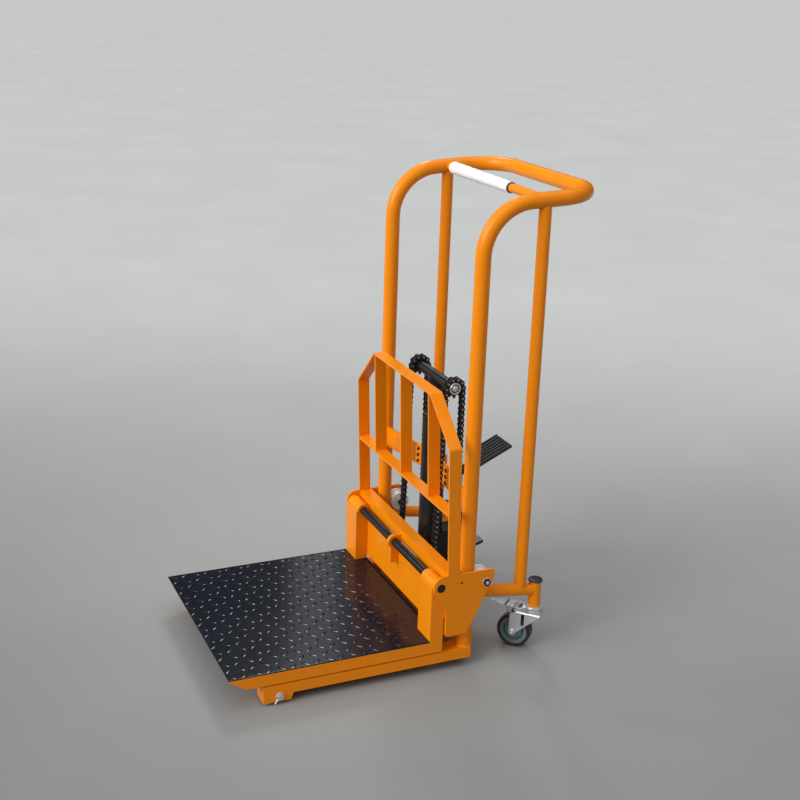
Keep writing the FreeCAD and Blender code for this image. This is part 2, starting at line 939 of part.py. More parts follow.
def make_crosshead():
    """The cross bar on the ram, whose ends are the sprockets' axles, and their end caps."""
    half = s.sprocket_spread + s.sprocket_width / 2 + s.sprocket_side_gap
    bar_at = (-half, lift_y, s.sprocket_height)
    bar = drum("crosshead_bar", bar_at, "x", s.crosshead_bar / 2, 2 * half)
    foot = (ZERO, lift_y, s.sprocket_height - s.crosshead_drop)
    boss = drum("crosshead_boss", foot, "z", s.crosshead_boss / 2, s.crosshead_drop)
    keep(fuse("crosshead", bar, boss), "crosshead")
    caps = []
    for word, side in SIDES:
        disc_x = half if side > 0 else -half - s.sprocket_cap_thick
        disc_at = (disc_x, lift_y, s.sprocket_height)
        disc = drum(f"cap_disc_{word}", disc_at, "x", s.sprocket_cap / 2, s.sprocket_cap_thick)
        screw_x = half if side > 0 else -half - s.cap_screw_head
        screw_at = (screw_x, lift_y, s.sprocket_height)
        screw = hex_nut(f"cap_screw_{word}", screw_at, "x", s.cap_screw, s.cap_screw_head)
        caps.append(fuse(f"sprocket_cap_{word}", disc, screw))
    keep(group("sprocket_caps", *caps), "sprocket_caps")


def make_sprocket(word, side):
    """A chain wheel: a disc with a rounded seat and two sloping flanks per tooth gap."""
    body = new_body(f"sprocket_{word}")
    disc = new_sketch(body, "XY_Plane")
    draw_circle(disc, (0, 0), 2 * (sprocket_radius + s.tooth_rise))
    draw_circle(disc, (0, 0), s.crosshead_bar + 2 * s.run_gap)
    pad(body, disc, s.sprocket_width, both_ways=True)
    seat = s.chain_roller / 2 + s.rolling_gap
    mouth = seat + 2 * s.tooth_rise
    far = sprocket_radius + 2 * s.tooth_rise
    turns = [-180 * n / SEAT_CHORDS for n in range(1, SEAT_CHORDS)]
    floor = [
        (-seat * math.cos(math.radians(a)), sprocket_radius + seat * math.sin(math.radians(a)))
        for a in turns
    ]
    gap = new_sketch(body, "XY_Plane")
    draw_outline(
        gap,
        [(mouth, far), (-mouth, far), (-seat, sprocket_radius), *floor, (seat, sprocket_radius)],
    )
    tooth_gap = body.newObject("PartDesign::Pocket", "ToothGap")
    tooth_gap.Profile = gap
    tooth_gap.Type = "ThroughAll"
    tooth_gap.SideType = "Symmetric"
    doc.recompute()
    ring = body.newObject("PartDesign::PolarPattern", "ToothGaps")
    ring.Originals = [tooth_gap]
    ring.Axis = (gap, ["N_Axis"])
    ring.Angle = 360
    ring.Occurrences = int(s.sprocket_teeth.value)
    body.Tip = ring
    place(body, (side * s.sprocket_spread, lift_y, s.sprocket_height), ALONG["x"])
    keep(body, f"sprocket_{word}")


def link_plate(x):
    """One flat link plate standing on its lower pin."""
    height = s.link_height.value
    end = s.link_end.value
    low = FreeCAD.Vector(x, -height / 2, -end)
    return Part.makeBox(s.link_plate.value, height, s.chain_pitch.value + 2 * end, low)


def link_roller(z):
    """A roller between the inner plates, with six flats for its round."""
    inside = s.chain_inside.value / 2
    radius = s.chain_roller.value / 2
    turns = [math.tau * n / ROLLER_FLATS for n in range(ROLLER_FLATS)]
    corners = [
        FreeCAD.Vector(-inside, radius * math.cos(a), z + radius * math.sin(a)) for a in turns
    ]
    face = Part.Face(Part.makePolygon(corners + corners[:1]))
    return face.extrude(FreeCAD.Vector(2 * inside, 0, 0))


def make_links(with_rollers):
    """The inner link, with its two rollers where asked, and the outer link."""
    inside = s.chain_inside.value / 2
    thick = s.link_plate.value
    outside = inside + thick + s.link_gap.value
    inner = [link_plate(x) for x in (inside, -inside - thick)]
    outer = [link_plate(x) for x in (outside, -outside - thick)]
    for z in (0, s.chain_pitch.value) if with_rollers else ():
        inner.append(link_roller(z))
    return Part.makeCompound(inner), Part.makeCompound(outer)


def chain_run(pins, first_inner, with_rollers):
    """A run of links along a row of pins, inner and outer links by turns."""
    inner, outer = make_links(with_rollers)
    solids = []
    for number, (low, high) in enumerate(zip(pins, pins[1:])):
        link = (inner if (number % 2 == 0) == first_inner else outer).copy()
        lean = math.degrees(math.atan2(low.y - high.y, high.z - low.z))
        turn = FreeCAD.Rotation(FreeCAD.Vector(1, 0, 0), lean)
        link.Placement = FreeCAD.Placement(low, turn)
        solids += link.Solids
    return solids


def make_chains():
    """Each lift chain: up from the carriage, over its sprocket, down to the base."""
    pitch = s.chain_pitch.value
    radius = sprocket_radius.value
    top = s.sprocket_height.value
    teeth = int(s.sprocket_teeth.value)
    runs = {"chain_front": [], "chain_wrap": [], "chain_rear": []}
    for _, side in SIDES:
        x = side * s.sprocket_spread.value
        front = front_links()
        rear = rear_links()
        front_y = front_chain_y().value
        rear_y = rear_chain_y().value
        lean = (front_anchor_y().value - front_y) / front
        rising = [
            FreeCAD.Vector(x, front_y + n * lean, top - n * pitch) for n in range(front, -1, -1)
        ]
        falling = [FreeCAD.Vector(x, rear_y, top - n * pitch) for n in range(rear + 1)]
        over = []
        for n in range(teeth // 2 + 1):
            angle = math.pi - n * math.tau / teeth
            over.append(
                FreeCAD.Vector(
                    x,
                    lift_y.value + radius * math.cos(angle),
                    top + radius * math.sin(angle),
                )
            )
        wrap_inner = front % 2 == 1
        rear_inner = wrap_inner == (teeth // 2 % 2 == 0)
        runs["chain_front"] += chain_run(rising, False, False)
        runs["chain_wrap"] += chain_run(over, wrap_inner, True)
        runs["chain_rear"] += chain_run(falling, rear_inner, False)
    for name, solids in runs.items():
        run = doc.addObject("Part::Feature", name)
        run.Shape = Part.makeCompound(solids)
        keep(run, name)


# Mast cross plate and pump


def cross_plate_bar(word, side):
    """A plate that runs from a mast tube inwards and back to the barrel."""
    bar = doc.addObject("Part::Box", f"cross_plate_bar_{word}")
    length = half_track / cosine(s.cross_plate_angle)
    bind(bar, "Length", length)
    bind(bar, "Width", s.cross_plate_thick)
    bind(bar, "Height", s.cross_plate_height)
    near = mast_y - s.cross_plate_ahead
    far = near + length * sine(s.cross_plate_angle)
    at = (ZERO, far, s.cross_plate_foot) if side > 0 else (-half_track, near, s.cross_plate_foot)
    return place(bar, at, axis=(0, 0, 1), angle=-side * s.cross_plate_angle)


def make_cross_plate():
    """The plates from the mast tubes to the barrel's half collar, with the pedal's pin."""
    top = s.cross_plate_foot + s.cross_plate_height
    wide = s.barrel / 2 + s.weld_gap
    collar = drum(
        "cross_plate_collar",
        (ZERO, lift_y, s.collar_foot),
        "z",
        wide + s.collar_wall,
        top - s.collar_foot,
    )
    collar_front = block(
        "cross_plate_collar_front",
        (-s.barrel, lift_y - s.barrel, s.collar_foot - s.overrun),
        (s.barrel, lift_y, top + s.overrun),
    )
    ears = []
    for word, side in SIDES:
        inner = s.pedal_arm_width / 2 + s.roller_side_gap
        x = side * inner if side > 0 else -inner - s.pedal_ear_thick
        half = s.pedal_ear_height / 2
        y = mast_y + s.pedal_pivot_back
        z = s.pedal_pivot_height
        ears.append(
            block(
                f"pedal_ear_{word}",
                (x, lift_y + wide, z - half),
                (x + s.pedal_ear_thick, y + half, z + half),
            )
        )
    span = s.pedal_arm_width + 2 * (s.roller_side_gap + s.pedal_ear_thick)
    pin_at = (-span / 2, mast_y + s.pedal_pivot_back, s.pedal_pivot_height)
    pin = drum("pedal_pin", pin_at, "x", s.pedal_pin / 2, span)
    bars = [cross_plate_bar(word, side) for word, side in SIDES]
    weld = fuse("cross_plate_weld", cut("half_collar", collar, collar_front), pin, *bars, *ears)
    bore = drum("cross_plate_bore", (ZERO, lift_y, ZERO), "z", wide, s.handle_height)
    copes = [
        mast_cope(f"cross_plate_cope_{word}", side, mast_radius + s.weld_gap)
        for word, side in SIDES
    ]
    keep(cut("mast_cross_plate", weld, bore, *copes), "mast_cross_plate")


def make_pump():
    """The pump block behind the barrel, with its sleeve and the release pedal's pin."""
    half = s.pump_width / 2
    back = mast_y + s.pump_back
    blank = block("pump_blank", (-half, lift_y, s.pump_foot), (half, back, s.pump_top))
    ears = []
    y = mast_y + s.release_pivot_back
    z = s.release_pivot_height
    eye = s.release_boss / 2
    for word, side in SIDES:
        inner = s.release_width / 2 + s.roller_side_gap
        x = inner if side > 0 else -inner - s.release_ear_thick
        low = (x, back, z - eye)
        high = (x + s.release_ear_thick, y + eye, z + eye)
        ears.append(block(f"release_ear_{word}", low, high))
    span = s.release_width + 2 * (s.roller_side_gap + s.release_ear_thick)
    pin = drum("release_pin", (-span / 2, y, z), "x", s.release_pin / 2, span)
    top = (ZERO, mast_y + s.plunger_back, s.pump_top)
    sleeve = drum("pump_sleeve", top, "z", s.pump_sleeve / 2, s.pump_sleeve_height)
    weld = fuse("pump_weld", blank, sleeve, pin, *ears)
    saddle_at = (ZERO, lift_y, ZERO)
    saddle = drum("pump_saddle", saddle_at, "z", s.barrel / 2 + s.weld_gap, s.handle_height)
    bore_at = (ZERO, mast_y + s.plunger_back, s.pump_top - s.plunger_depth)
    bore = drum("pump_bore", bore_at, "z", s.plunger / 2 + s.run_gap, s.pump_top)
    keep(cut("pump_body", weld, saddle, bore), "pump_body")
    nut_at = (ZERO, mast_y + s.plunger_back, s.pump_top + s.pump_sleeve_height)
    nut = hex_nut("pump_nut_blank", nut_at, "z", s.pump_nut, s.pump_nut_height)
    nut_bore = drum("pump_nut_bore", nut_at, "z", s.plunger / 2 + s.run_gap, s.pump_nut_height)
    keep(cut("pump_gland_nut", nut, nut_bore), "pump_gland_nut")


def plunger_top():
    """Height of the plunger's head under the pedal arm."""
    reach = s.plunger_back - s.pedal_pivot_back
    line = s.pedal_pivot_height + reach * tangent(s.pedal_angle)
    under = s.pedal_arm_thick / 2 / cosine(s.pedal_angle)
    edge = s.plunger / 2 * tangent(s.pedal_angle)
    return line - under - edge - s.rolling_gap


def make_plunger():
    """The plain plunger that the pedal arm presses into the pump."""
    foot = (ZERO, mast_y + s.plunger_back, s.pump_top - s.plunger_foot)
    keep(drum("pump_plunger", foot, "z", s.plunger / 2, plunger_top() - foot[2]), "pump_plunger")


# Pedals


def make_pump_pedal():
    """The foot lever: a boss on its pin, a flat arm and a ribbed pad at the end."""
    arm_half = s.pedal_arm_thick / 2
    hub = drum(
        "pedal_hub",
        (-s.pedal_arm_width / 2, ZERO, ZERO),
        "x",
        s.pedal_boss / 2,
        s.pedal_arm_width,
    )
    arm = block(
        "pedal_arm",
        (-s.pedal_arm_width / 2, ZERO, -arm_half),
        (s.pedal_arm_width / 2, s.pedal_arm_length, arm_half),
    )
    bore_at = (-s.pedal_arm_width, ZERO, ZERO)
    bore = drum("pedal_bore", bore_at, "x", s.pedal_pin / 2 + s.run_gap, 2 * s.pedal_arm_width)
    lever = cut("pump_lever", fuse("pump_lever_weld", hub, arm), bore)
    pad_low = (-s.pad_width / 2, s.pad_start, arm_half)
    pad_high = (s.pad_width / 2, s.pad_start + s.pad_length, arm_half + s.pad_thick)
    plate = block("pedal_pad_plate", pad_low, pad_high)
    ribs = []
    count = int(s.pad_ribs.value)
    step = (s.pad_width - s.pad_rib_width) / (count - 1)
    for number in range(count):
        x = -s.pad_width / 2 + number * step
        low = (x, s.pad_start, arm_half + s.pad_thick)
        high = (
            x + s.pad_rib_width,
            s.pad_start + s.pad_length,
            arm_half + s.pad_thick + s.pad_rib_height,
        )
        ribs.append(block(f"pedal_pad_rib_{number}", low, high))
    pivot = (0, mast_y + s.pedal_pivot_back, s.pedal_pivot_height)
    tread = fuse("pump_pedal_pad", plate, *ribs)
    for thing, label in ((lever, "pump_lever"), (tread, "pump_pedal_pad")):
        place(thing, pivot, axis=(1, 0, 0), angle=s.pedal_angle)
        keep(thing, label)


def make_release_pedal():
    """The small lowering pedal behind the pump."""
    half = s.release_width / 2
    hub = drum("release_hub", (-half, ZERO, ZERO), "x", s.release_boss / 2, s.release_width)
    arm = block(
        "release_arm",
        (-half, ZERO, -s.release_thick / 2),
        (half, s.release_length, s.release_thick / 2),
    )
    tread = block(
        "release_tread",
        (-s.release_pad / 2, s.release_length - s.release_pad_length, s.release_thick / 2),
        (s.release_pad / 2, s.release_length, s.release_thick / 2 + s.release_ear_thick),
    )
    at = (-s.release_width, ZERO, ZERO)
    bore = drum("release_bore", at, "x", s.release_pin / 2 + s.run_gap, 2 * s.release_width)
    pedal = cut("release_pedal", fuse("release_weld", hub, arm, tread), bore)
    pivot = (0, mast_y + s.release_pivot_back, s.release_pivot_height)
    place(pedal, pivot, axis=(1, 0, 0), angle=s.release_angle)
    keep(pedal, "release_pedal")


# Carriage


def make_side_plate(word, side):
    """The carriage cheek outside a mast tube, with a rounded nose and a lip below it."""
    name = f"carriage_side_plate_{word}"
    nose_ahead = s.shaft_ahead + s.plate_nose
    outline = [
        (-nose_ahead, s.plate_top),
        (s.plate_back, s.plate_top),
        (s.plate_back, s.plate_top - s.plate_heel),
        (-s.plate_foot_ahead, s.plate_foot),
        (-s.plate_web_ahead, s.plate_foot),
        (-s.plate_web_ahead, s.plate_web_top),
        (-nose_ahead, s.shaft_height - s.plate_nose_drop),
    ]
    holes = [
        ((-s.shaft_ahead, s.shaft_height), s.fork_shaft + 2 * s.weld_gap),
        ((-s.spare_hole_ahead, s.plate_top - s.spare_hole_drop), s.spare_hole),
    ]
    body, plate = side_profile(f"{name}_sheet", outline, s.plate_thick, holes)
    nose = round_corners(body, plate, outline[:1], s.plate_nose_round)
    round_corners(body, nose, outline[1:5], s.plate_corner)
    middle = plate_inner + s.plate_thick / 2
    place(body, (side * middle, mast_y, 0))
    lip_edge = plate_outer - s.plate_lip
    lip_root = plate_inner - s.weld_gap
    web = mast_y - s.plate_web_ahead
    lip = block(
        f"{name}_lip",
        (lip_edge if side > 0 else -lip_root, web, s.plate_foot + s.plate_corner),
        (
            lip_root if side > 0 else -lip_edge,
            web + s.plate_lip_thick,
            s.front_plate_step - s.rolling_gap,
        ),
    )
    keep(group(name, body, lip), name)


def make_carriage_beam():
    """The angle across the carriage, with the lugs that the lift chains pull."""
    front = mast_y - s.beam_ahead
    low = s.plate_top - s.beam_leg
    outline = [
        (-s.beam_ahead, low),
        (-s.beam_ahead + s.beam_wall, low),
        (-s.beam_ahead + s.beam_wall, s.plate_top - s.beam_wall),
        (-s.beam_ahead + s.beam_leg, s.plate_top - s.beam_wall),
        (-s.beam_ahead + s.beam_leg, s.plate_top),
        (-s.beam_ahead, s.plate_top),
    ]
    angle, _ = side_profile("carriage_angle", outline, 2 * plate_inner)
    place(angle, (0, mast_y, 0))
    lugs = []
    for word, side in SIDES:
        half = s.anchor_width / 2
        lugs += chain_end(
            side,
            front_anchor_y(),
            front_anchor_z(),
            f"front_anchor_{word}",
            (front + s.beam_wall / 2, front_anchor_z() - half),
            (front_anchor_y(), front_anchor_z() + half),
        )
    keep(fuse("carriage_beam", angle, *lugs), "carriage_beam")


def make_front_plate():
    """The plate that the fork heels rest on, narrowed below to clear the rollers."""
    body = new_body("carriage_front_plate_sheet")
    sketch = new_sketch(body, "XZ_Plane", s.front_plate_ahead)
    wide = plate_inner
    narrow = plate_inner - s.front_plate_inset
    outline = [
        (-wide, s.front_plate_top),
        (-wide, s.front_plate_step),
        (-narrow, s.front_plate_step),
        (-narrow, s.front_plate_foot),
        (narrow, s.front_plate_foot),
        (narrow, s.front_plate_step),
        (wide, s.front_plate_step),
        (wide, s.front_plate_top),
    ]
    draw_outline(sketch, outline)
    sheet_pad = pad(body, sketch, s.front_plate_thick)
    sheet_pad.Reversed = True
    place(body, (0, mast_y, 0))
    half = s.support_thick / 2
    eye = drum("support_eye_bar", (-half, shaft_y, s.shaft_height), "x", s.support_eye, s.support_thick)
    foot = block(
        "support_foot_bar",
        (-half, mast_y - s.front_plate_ahead - s.support_depth, s.support_foot),
        (half, mast_y - s.front_plate_ahead, s.shaft_height),
    )
    back = block(
        "support_back_bar",
        (-half, shaft_y, s.plate_top - s.beam_leg),
        (half, mast_y - s.beam_ahead, s.shaft_height + s.support_eye),
    )
    weld = fuse("carriage_front_weld", body, eye, foot, back)
    bore_at = (-s.support_thick, shaft_y, s.shaft_height)
    bore = drum("support_bore", bore_at, "x", s.fork_shaft / 2 + s.weld_gap, 2 * s.support_thick)
    keep(cut("carriage_front_plate", weld, bore), "carriage_front_plate")
    shaft_at = (-plate_outer, shaft_y, s.shaft_height)
    keep(drum("fork_shaft", shaft_at, "x", s.fork_shaft / 2, 2 * plate_outer), "fork_shaft")


def make_backrest():
    """The leaning hoop of bent flat bar on the side plates, its rail and its three uprights."""
    bar = s.backrest_bar
    half = plate_outer
    half_depth = s.backrest_depth / 2
    foot = s.plate_top + half_depth * sine(s.backrest_lean_angle)
    at = (0, mast_y - s.backrest_ahead + half_depth, foot)
    top = s.backrest_top - foot
    shoulder = s.backrest_shoulder - foot
    run = half - s.backrest_top_half
    rise = top - shoulder
    slope = root(run * run + rise * rise)
    inner_shoulder = shoulder - bar * (slope - rise) / run
    inner_half = half - (bar * slope + (rise - bar) * run) / rise
    outline = [
        (half, 0),
        (half, shoulder),
        (s.backrest_top_half, top),
        (-s.backrest_top_half, top),
        (-half, shoulder),
        (-half, 0),
        (bar - half, 0),
        (bar - half, inner_shoulder),
        (-inner_half, top - bar),
        (inner_half, top - bar),
        (half - bar, inner_shoulder),
        (half - bar, 0),
    ]
    body = new_body("backrest_hoop")
    sketch = new_sketch(body, "XZ_Plane", -half_depth)
    draw_outline(sketch, outline)
    pad(body, sketch, s.backrest_depth)
    low = s.backrest_rail_height - bar / 2 - foot
    rail = block(
        "backrest_rail_bar",
        (bar - half, -half_depth, low),
        (half - bar, half_depth, low + bar),
    )
    bars = []
    for number in (-1, 0, 1):
        x = number * s.backrest_bar_spread - bar / 2
        bars.append(
            block(
                f"backrest_upright_{number + 2}",
                (x, -half_depth, low + bar),
                (x + bar, half_depth, top - bar),
            )
        )
    rail_group = group("backrest_rail", rail)
    bar_group = group("backrest_uprights", *bars)
    for thing in (body, rail_group, bar_group):
        place(thing, at, axis=(1, 0, 0), angle=s.backrest_lean_angle)
    keep(body, "backrest_hoop")
    keep(rail_group, "backrest_rail")
    keep(bar_group, "backrest_uprights")


def make_roller(name, side, y, z, waist):
    """A waisted nylon roller that runs on a round mast tube."""
    half = s.roller_width / 2
    bore = s.roller_pin / 2 + s.run_gap
    outer = waist + s.roller_flare
    shoulder = half - s.roller_land
    groove = s.roller_groove / 2
    outline = [
        (bore, -half),
        (outer, -half),
        (outer, -shoulder),
        (waist, -groove),
        (waist, groove),
        (outer, shoulder),
        (outer, half),
        (bore, half),
    ]
    keep(turned(name, outline, (side * half_track, y, z)), name)


def roller_bolt(name, side, y, z, with_nut):
    """A roller's pin on the inside of the cheek, with its nut outside where it has one."""
    start = half_track - s.roller_width / 2 - s.roller_tail
    x = start if side > 0 else -plate_inner
    shank = drum(f"{name}_shank", (x, y, z), "x", s.roller_pin / 2, plate_inner - start)
    if not with_nut:
        return [shank]
    nut_x = plate_outer if side > 0 else -plate_outer - s.roller_nut_thick
    return [shank, hex_nut(f"{name}_nut", (nut_x, y, z), "x", s.roller_nut, s.roller_nut_thick)]


def make_rollers():
    """The upper rollers behind the mast and the lower ones ahead of it."""
    pins = []
    near = mast_radius + s.rolling_gap
    upper_y = mast_y + near + s.roller_waist
    lower_y = mast_y - near - s.lower_roller_waist
    rows = (
        ("upper", upper_y, s.upper_roller_height, s.roller_waist, True),
        ("lower", lower_y, s.lower_roller_height, s.lower_roller_waist, False),
    )
    for row, y, z, waist, with_nut in rows:
        for word, side in SIDES:
            make_roller(f"guide_roller_{row}_{word}", side, y, z, waist)
            pins += roller_bolt(f"roller_pin_{row}_{word}", side, y, z, with_nut)
    keep(group("roller_pins", *pins), "roller_pins")


# Fork arms and platform


def make_fork_arm(word, side):
    """An L-shaped arm: a shank with its sleeve on the shaft and a tapered channel blade."""
    name = f"fork_arm_{word}"
    tip = s.platform_reach - s.tip_inset
    heel = s.front_plate_ahead + s.rolling_gap
    outline = [
        (-tip, fork_top),
        (-s.shank_ahead, fork_top),
        (-s.shank_ahead, s.shaft_height),
        (-heel, s.shaft_height),
        (-heel, s.fork_foot),
        (-tip + s.tip_back, s.fork_foot),
        (-tip, fork_top - s.tip_edge),
    ]
    middle = side * (leg_outer - s.fork_width / 2)
    ell, _ = side_profile(f"{name}_ell", outline, s.fork_width)
    place(ell, (middle, mast_y, 0))
    half = s.fork_width / 2
    sleeve = drum(
        f"{name}_sleeve",
        (middle - half, shaft_y, s.shaft_height),
        "x",
        s.fork_sleeve / 2,
        s.fork_width,
    )
    bore = drum(
        f"{name}_bore",
        (middle - s.fork_width, shaft_y, s.shaft_height),
        "x",
        s.fork_shaft / 2 + s.run_gap,
        2 * s.fork_width,
    )
    hollow = block(
        f"{name}_hollow",
        (middle - half + s.fork_wall, mast_y - tip + s.tip_back, -s.overrun),
        (middle + half - s.fork_wall, mast_y - s.shank_ahead, fork_top - s.fork_wall),
    )
    keep(cut(name, fuse(f"{name}_weld", ell, sleeve), bore, hollow), name)


def make_platform():
    """The tread plate over the blades, with a tongue back between the shanks."""
    plate = block(
        "tread_sheet",
        (-leg_outer, mast_y - s.platform_reach, fork_top),
        (leg_outer, mast_y - s.shank_ahead, s.platform_height),
    )
    half = leg_outer - s.fork_width - s.weld_gap
    tongue = block(
        "tread_tongue",
        (-half, mast_y - s.shank_ahead - s.overrun, fork_top),
        (half, mast_y - s.front_plate_ahead - s.rolling_gap, s.platform_height),
    )
    keep(fuse("tread_plate", plate, tongue), "tread_plate")


# Casters


def caster_place(thing, side):
    """Turns a caster piece to its trailing direction under its post."""
    at = (side * half_track, mast_y + s.post_back, ZERO)
    return place(thing, at, axis=(0, 0, 1), angle=side * s.caster_turn_angle)


def make_caster_fork(word, side):
    """The pressed fork under the swivel race, with its axle and the brake's pin."""
    name = f"caster_fork_{word}"
    crown = s.yoke_crown
    under = crown - s.yoke_plate
    axle_z = s.caster_wheel / 2
    half_gap = s.yoke_gap / 2
    eye = s.yoke_eye
    outline = [
        (-s.yoke_front, crown),
        (s.yoke_back, crown),
        (s.yoke_back + s.yoke_skirt, crown - s.yoke_skirt_drop),
        (s.caster_trail + eye, axle_z),
        (s.caster_trail + eye / 2, axle_z - eye),
        (s.caster_trail - eye / 2, axle_z - eye),
        (s.caster_trail - eye, axle_z),
        (-s.yoke_front, under),
    ]
    width = s.yoke_gap + 2 * s.yoke_cheek
    bracket, _ = side_profile(f"{name}_bracket", outline, width)
    space = block(
        f"{name}_space",
        (-half_gap, -s.caster_wheel, -s.overrun),
        (half_gap, s.caster_wheel, under),
    )
    bend = cut(f"{name}_bend", bracket, space)
    race = drum(f"{name}_race", (ZERO, ZERO, crown), "z", s.caster_race / 2, s.caster_race_height)
    axle_at = (-width / 2, s.caster_trail, axle_z)
    axle = drum(f"{name}_axle", axle_at, "x", s.caster_axle / 2, width)
    parts = [bend, race, axle]
    lug_inner = s.brake_width / 2 + s.roller_side_gap
    lug_outer = lug_inner + s.yoke_cheek
    for end_word, end_side in SIDES:
        nut_x = width / 2 if end_side > 0 else -width / 2 - s.axle_cap_thick
        nut_at = (nut_x, s.caster_trail, axle_z)
        parts.append(hex_nut(f"{name}_nut_{end_word}", nut_at, "x", s.axle_cap, s.axle_cap_thick))
        lug_x = lug_inner if end_side > 0 else -lug_outer
        lug_low = (lug_x, s.yoke_back - s.brake_curl, under)
        lug_top = s.brake_pivot_height + s.brake_curl / 2
        lug_high = (lug_x + s.yoke_cheek, s.brake_pivot + s.brake_curl / 2, lug_top)
        parts.append(block(f"{name}_lug_{end_word}", lug_low, lug_high))
    pin_at = (-lug_outer, s.brake_pivot, s.brake_pivot_height)
    parts.append(drum(f"{name}_brake_pin", pin_at, "x", s.brake_pin / 2, 2 * lug_outer))
    keep(caster_place(fuse(name, *parts), side), name)


def make_caster_wheel(word, side):
    """The core with its hub and the tyre with its sloped shoulders, turned about the axle."""
    bore = s.caster_axle / 2 + s.run_gap
    hub = s.caster_hub / 2
    rim = s.caster_tread / 2
    half_hub = s.yoke_gap / 2 - s.roller_side_gap
    half_rim = s.caster_rim / 2
    face = [
        (bore, half_hub),
        (hub, half_hub),
        (hub, half_rim),
        (rim, half_rim),
    ]
    core = face + [(radius, -along) for radius, along in reversed(face)]
    outer = s.caster_wheel / 2
    half_tyre = s.caster_width / 2
    tread = [
        (rim + s.weld_gap, half_tyre),
        (outer - s.tyre_shoulder, half_tyre),
        (outer, s.tyre_flat / 2),
    ]
    tyre = tread + [(radius, -along) for radius, along in reversed(tread)]
    for piece, outline in (("wheel", core), ("tyre", tyre)):
        name = f"caster_{piece}_{word}"
        solid = turned(f"{name}_turned", outline, (0, s.caster_trail, outer))
        keep(caster_place(group(name, solid), side), name)


def make_caster_brake(word, side):
    """The tread lever that presses its shoe on the tyre."""
    name = f"caster_brake_{word}"
    half = s.brake_width / 2
    y = s.brake_pivot
    z = s.brake_pivot_height
    curl = drum(f"{name}_curl", (-half, y, z), "x", s.brake_curl / 2, s.brake_width)
    under = z + s.brake_curl / 2 - s.brake_plate
    tip = s.brake_tip / 2
    taper_y = y + s.brake_taper_start
    tip_y = y + s.brake_length
    outline = [(half, y), (half, taper_y), (tip, tip_y), (-tip, tip_y), (-half, taper_y), (-half, y)]
    plate = new_body(f"{name}_plate")
    sketch = new_sketch(plate, "XY_Plane", under)
    draw_outline(sketch, outline)
    pad(plate, sketch, s.brake_plate)
    shoe_half = s.caster_rim / 2
    shoe_y = y + s.brake_shoe_start
    shoe_low = (-shoe_half, shoe_y, under - s.brake_shoe)
    shoe_high = (shoe_half, shoe_y + s.brake_shoe_length, under)
    shoe = block(f"{name}_shoe", shoe_low, shoe_high)
    bore_at = (-s.brake_width, y, z)
    bore = drum(f"{name}_bore", bore_at, "x", s.brake_pin / 2 + s.run_gap, 2 * s.brake_width)
    lever = cut(name, fuse(f"{name}_weld", curl, plate, shoe), bore)
    keep(caster_place(lever, side), name)


def make_all():
    make_handle_loop()
    make_stays()
    make_cross_tube()
    make_outriggers()
    make_posts()
    axles = []
    for word, side in SIDES:
        make_mast_tube(word, side)
        make_leg(word, side)
        make_front_wheel(word, side)
        axles.append(front_axle(word, side))
        make_sprocket(word, side)
        make_side_plate(word, side)
        make_fork_arm(word, side)
        make_caster_fork(word, side)
        make_caster_wheel(word, side)
        make_caster_brake(word, side)
    keep(group("front_axles", *axles), "front_axles")
    make_base_channel()
    make_ram()
    make_crosshead()
    make_chains()
    make_cross_plate()
    make_pump()
    make_plunger()
    make_pump_pedal()
    make_release_pedal()
    make_carriage_beam()
    make_front_plate()
    make_backrest()
    make_rollers()
    make_platform()


def check_all():
    """Stops before anything is written if an object failed or a piece is not sound."""
    for thing in doc.Objects:
        if "Invalid" in thing.State or "Error" in thing.State:
            raise RuntimeError(f"{thing.Label} did not build")
    for thing in NODES:
        if thing.Shape.isNull() or not thing.Shape.isValid() or not thing.Shape.Solids:
            raise RuntimeError(f"{thing.Label} is not a sound solid")


make_all()
doc.recompute()
check_all()
os.makedirs("parts", exist_ok=True)
for piece in NODES:
    piece.Shape.exportStep(f"parts/{piece.Label}.step")
print(f"{len(NODES)} pieces written")
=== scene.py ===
import math

import bpy
from mathutils import Matrix, Vector


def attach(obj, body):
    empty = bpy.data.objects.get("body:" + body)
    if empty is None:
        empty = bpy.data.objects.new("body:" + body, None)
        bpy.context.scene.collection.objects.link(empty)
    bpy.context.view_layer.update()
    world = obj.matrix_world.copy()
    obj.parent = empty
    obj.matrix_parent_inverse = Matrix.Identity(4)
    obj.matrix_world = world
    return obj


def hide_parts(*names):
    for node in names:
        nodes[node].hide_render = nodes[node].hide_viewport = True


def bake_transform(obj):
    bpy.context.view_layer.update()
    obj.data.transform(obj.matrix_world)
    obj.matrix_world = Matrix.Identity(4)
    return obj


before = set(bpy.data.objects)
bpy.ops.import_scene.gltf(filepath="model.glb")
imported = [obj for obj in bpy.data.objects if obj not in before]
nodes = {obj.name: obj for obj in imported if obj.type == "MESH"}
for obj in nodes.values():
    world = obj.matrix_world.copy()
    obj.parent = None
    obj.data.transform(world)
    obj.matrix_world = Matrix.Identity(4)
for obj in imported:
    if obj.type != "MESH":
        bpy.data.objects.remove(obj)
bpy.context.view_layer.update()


# Materials

def node_in(tree, kind, place, **inputs):
    """A shader node at a place in the sheet, with its plain inputs set."""
    made = tree.nodes.new(kind)
    made.location = place
    for name, value in inputs.items():
        made.inputs[name.replace("_", " ")].default_value = value
    return made


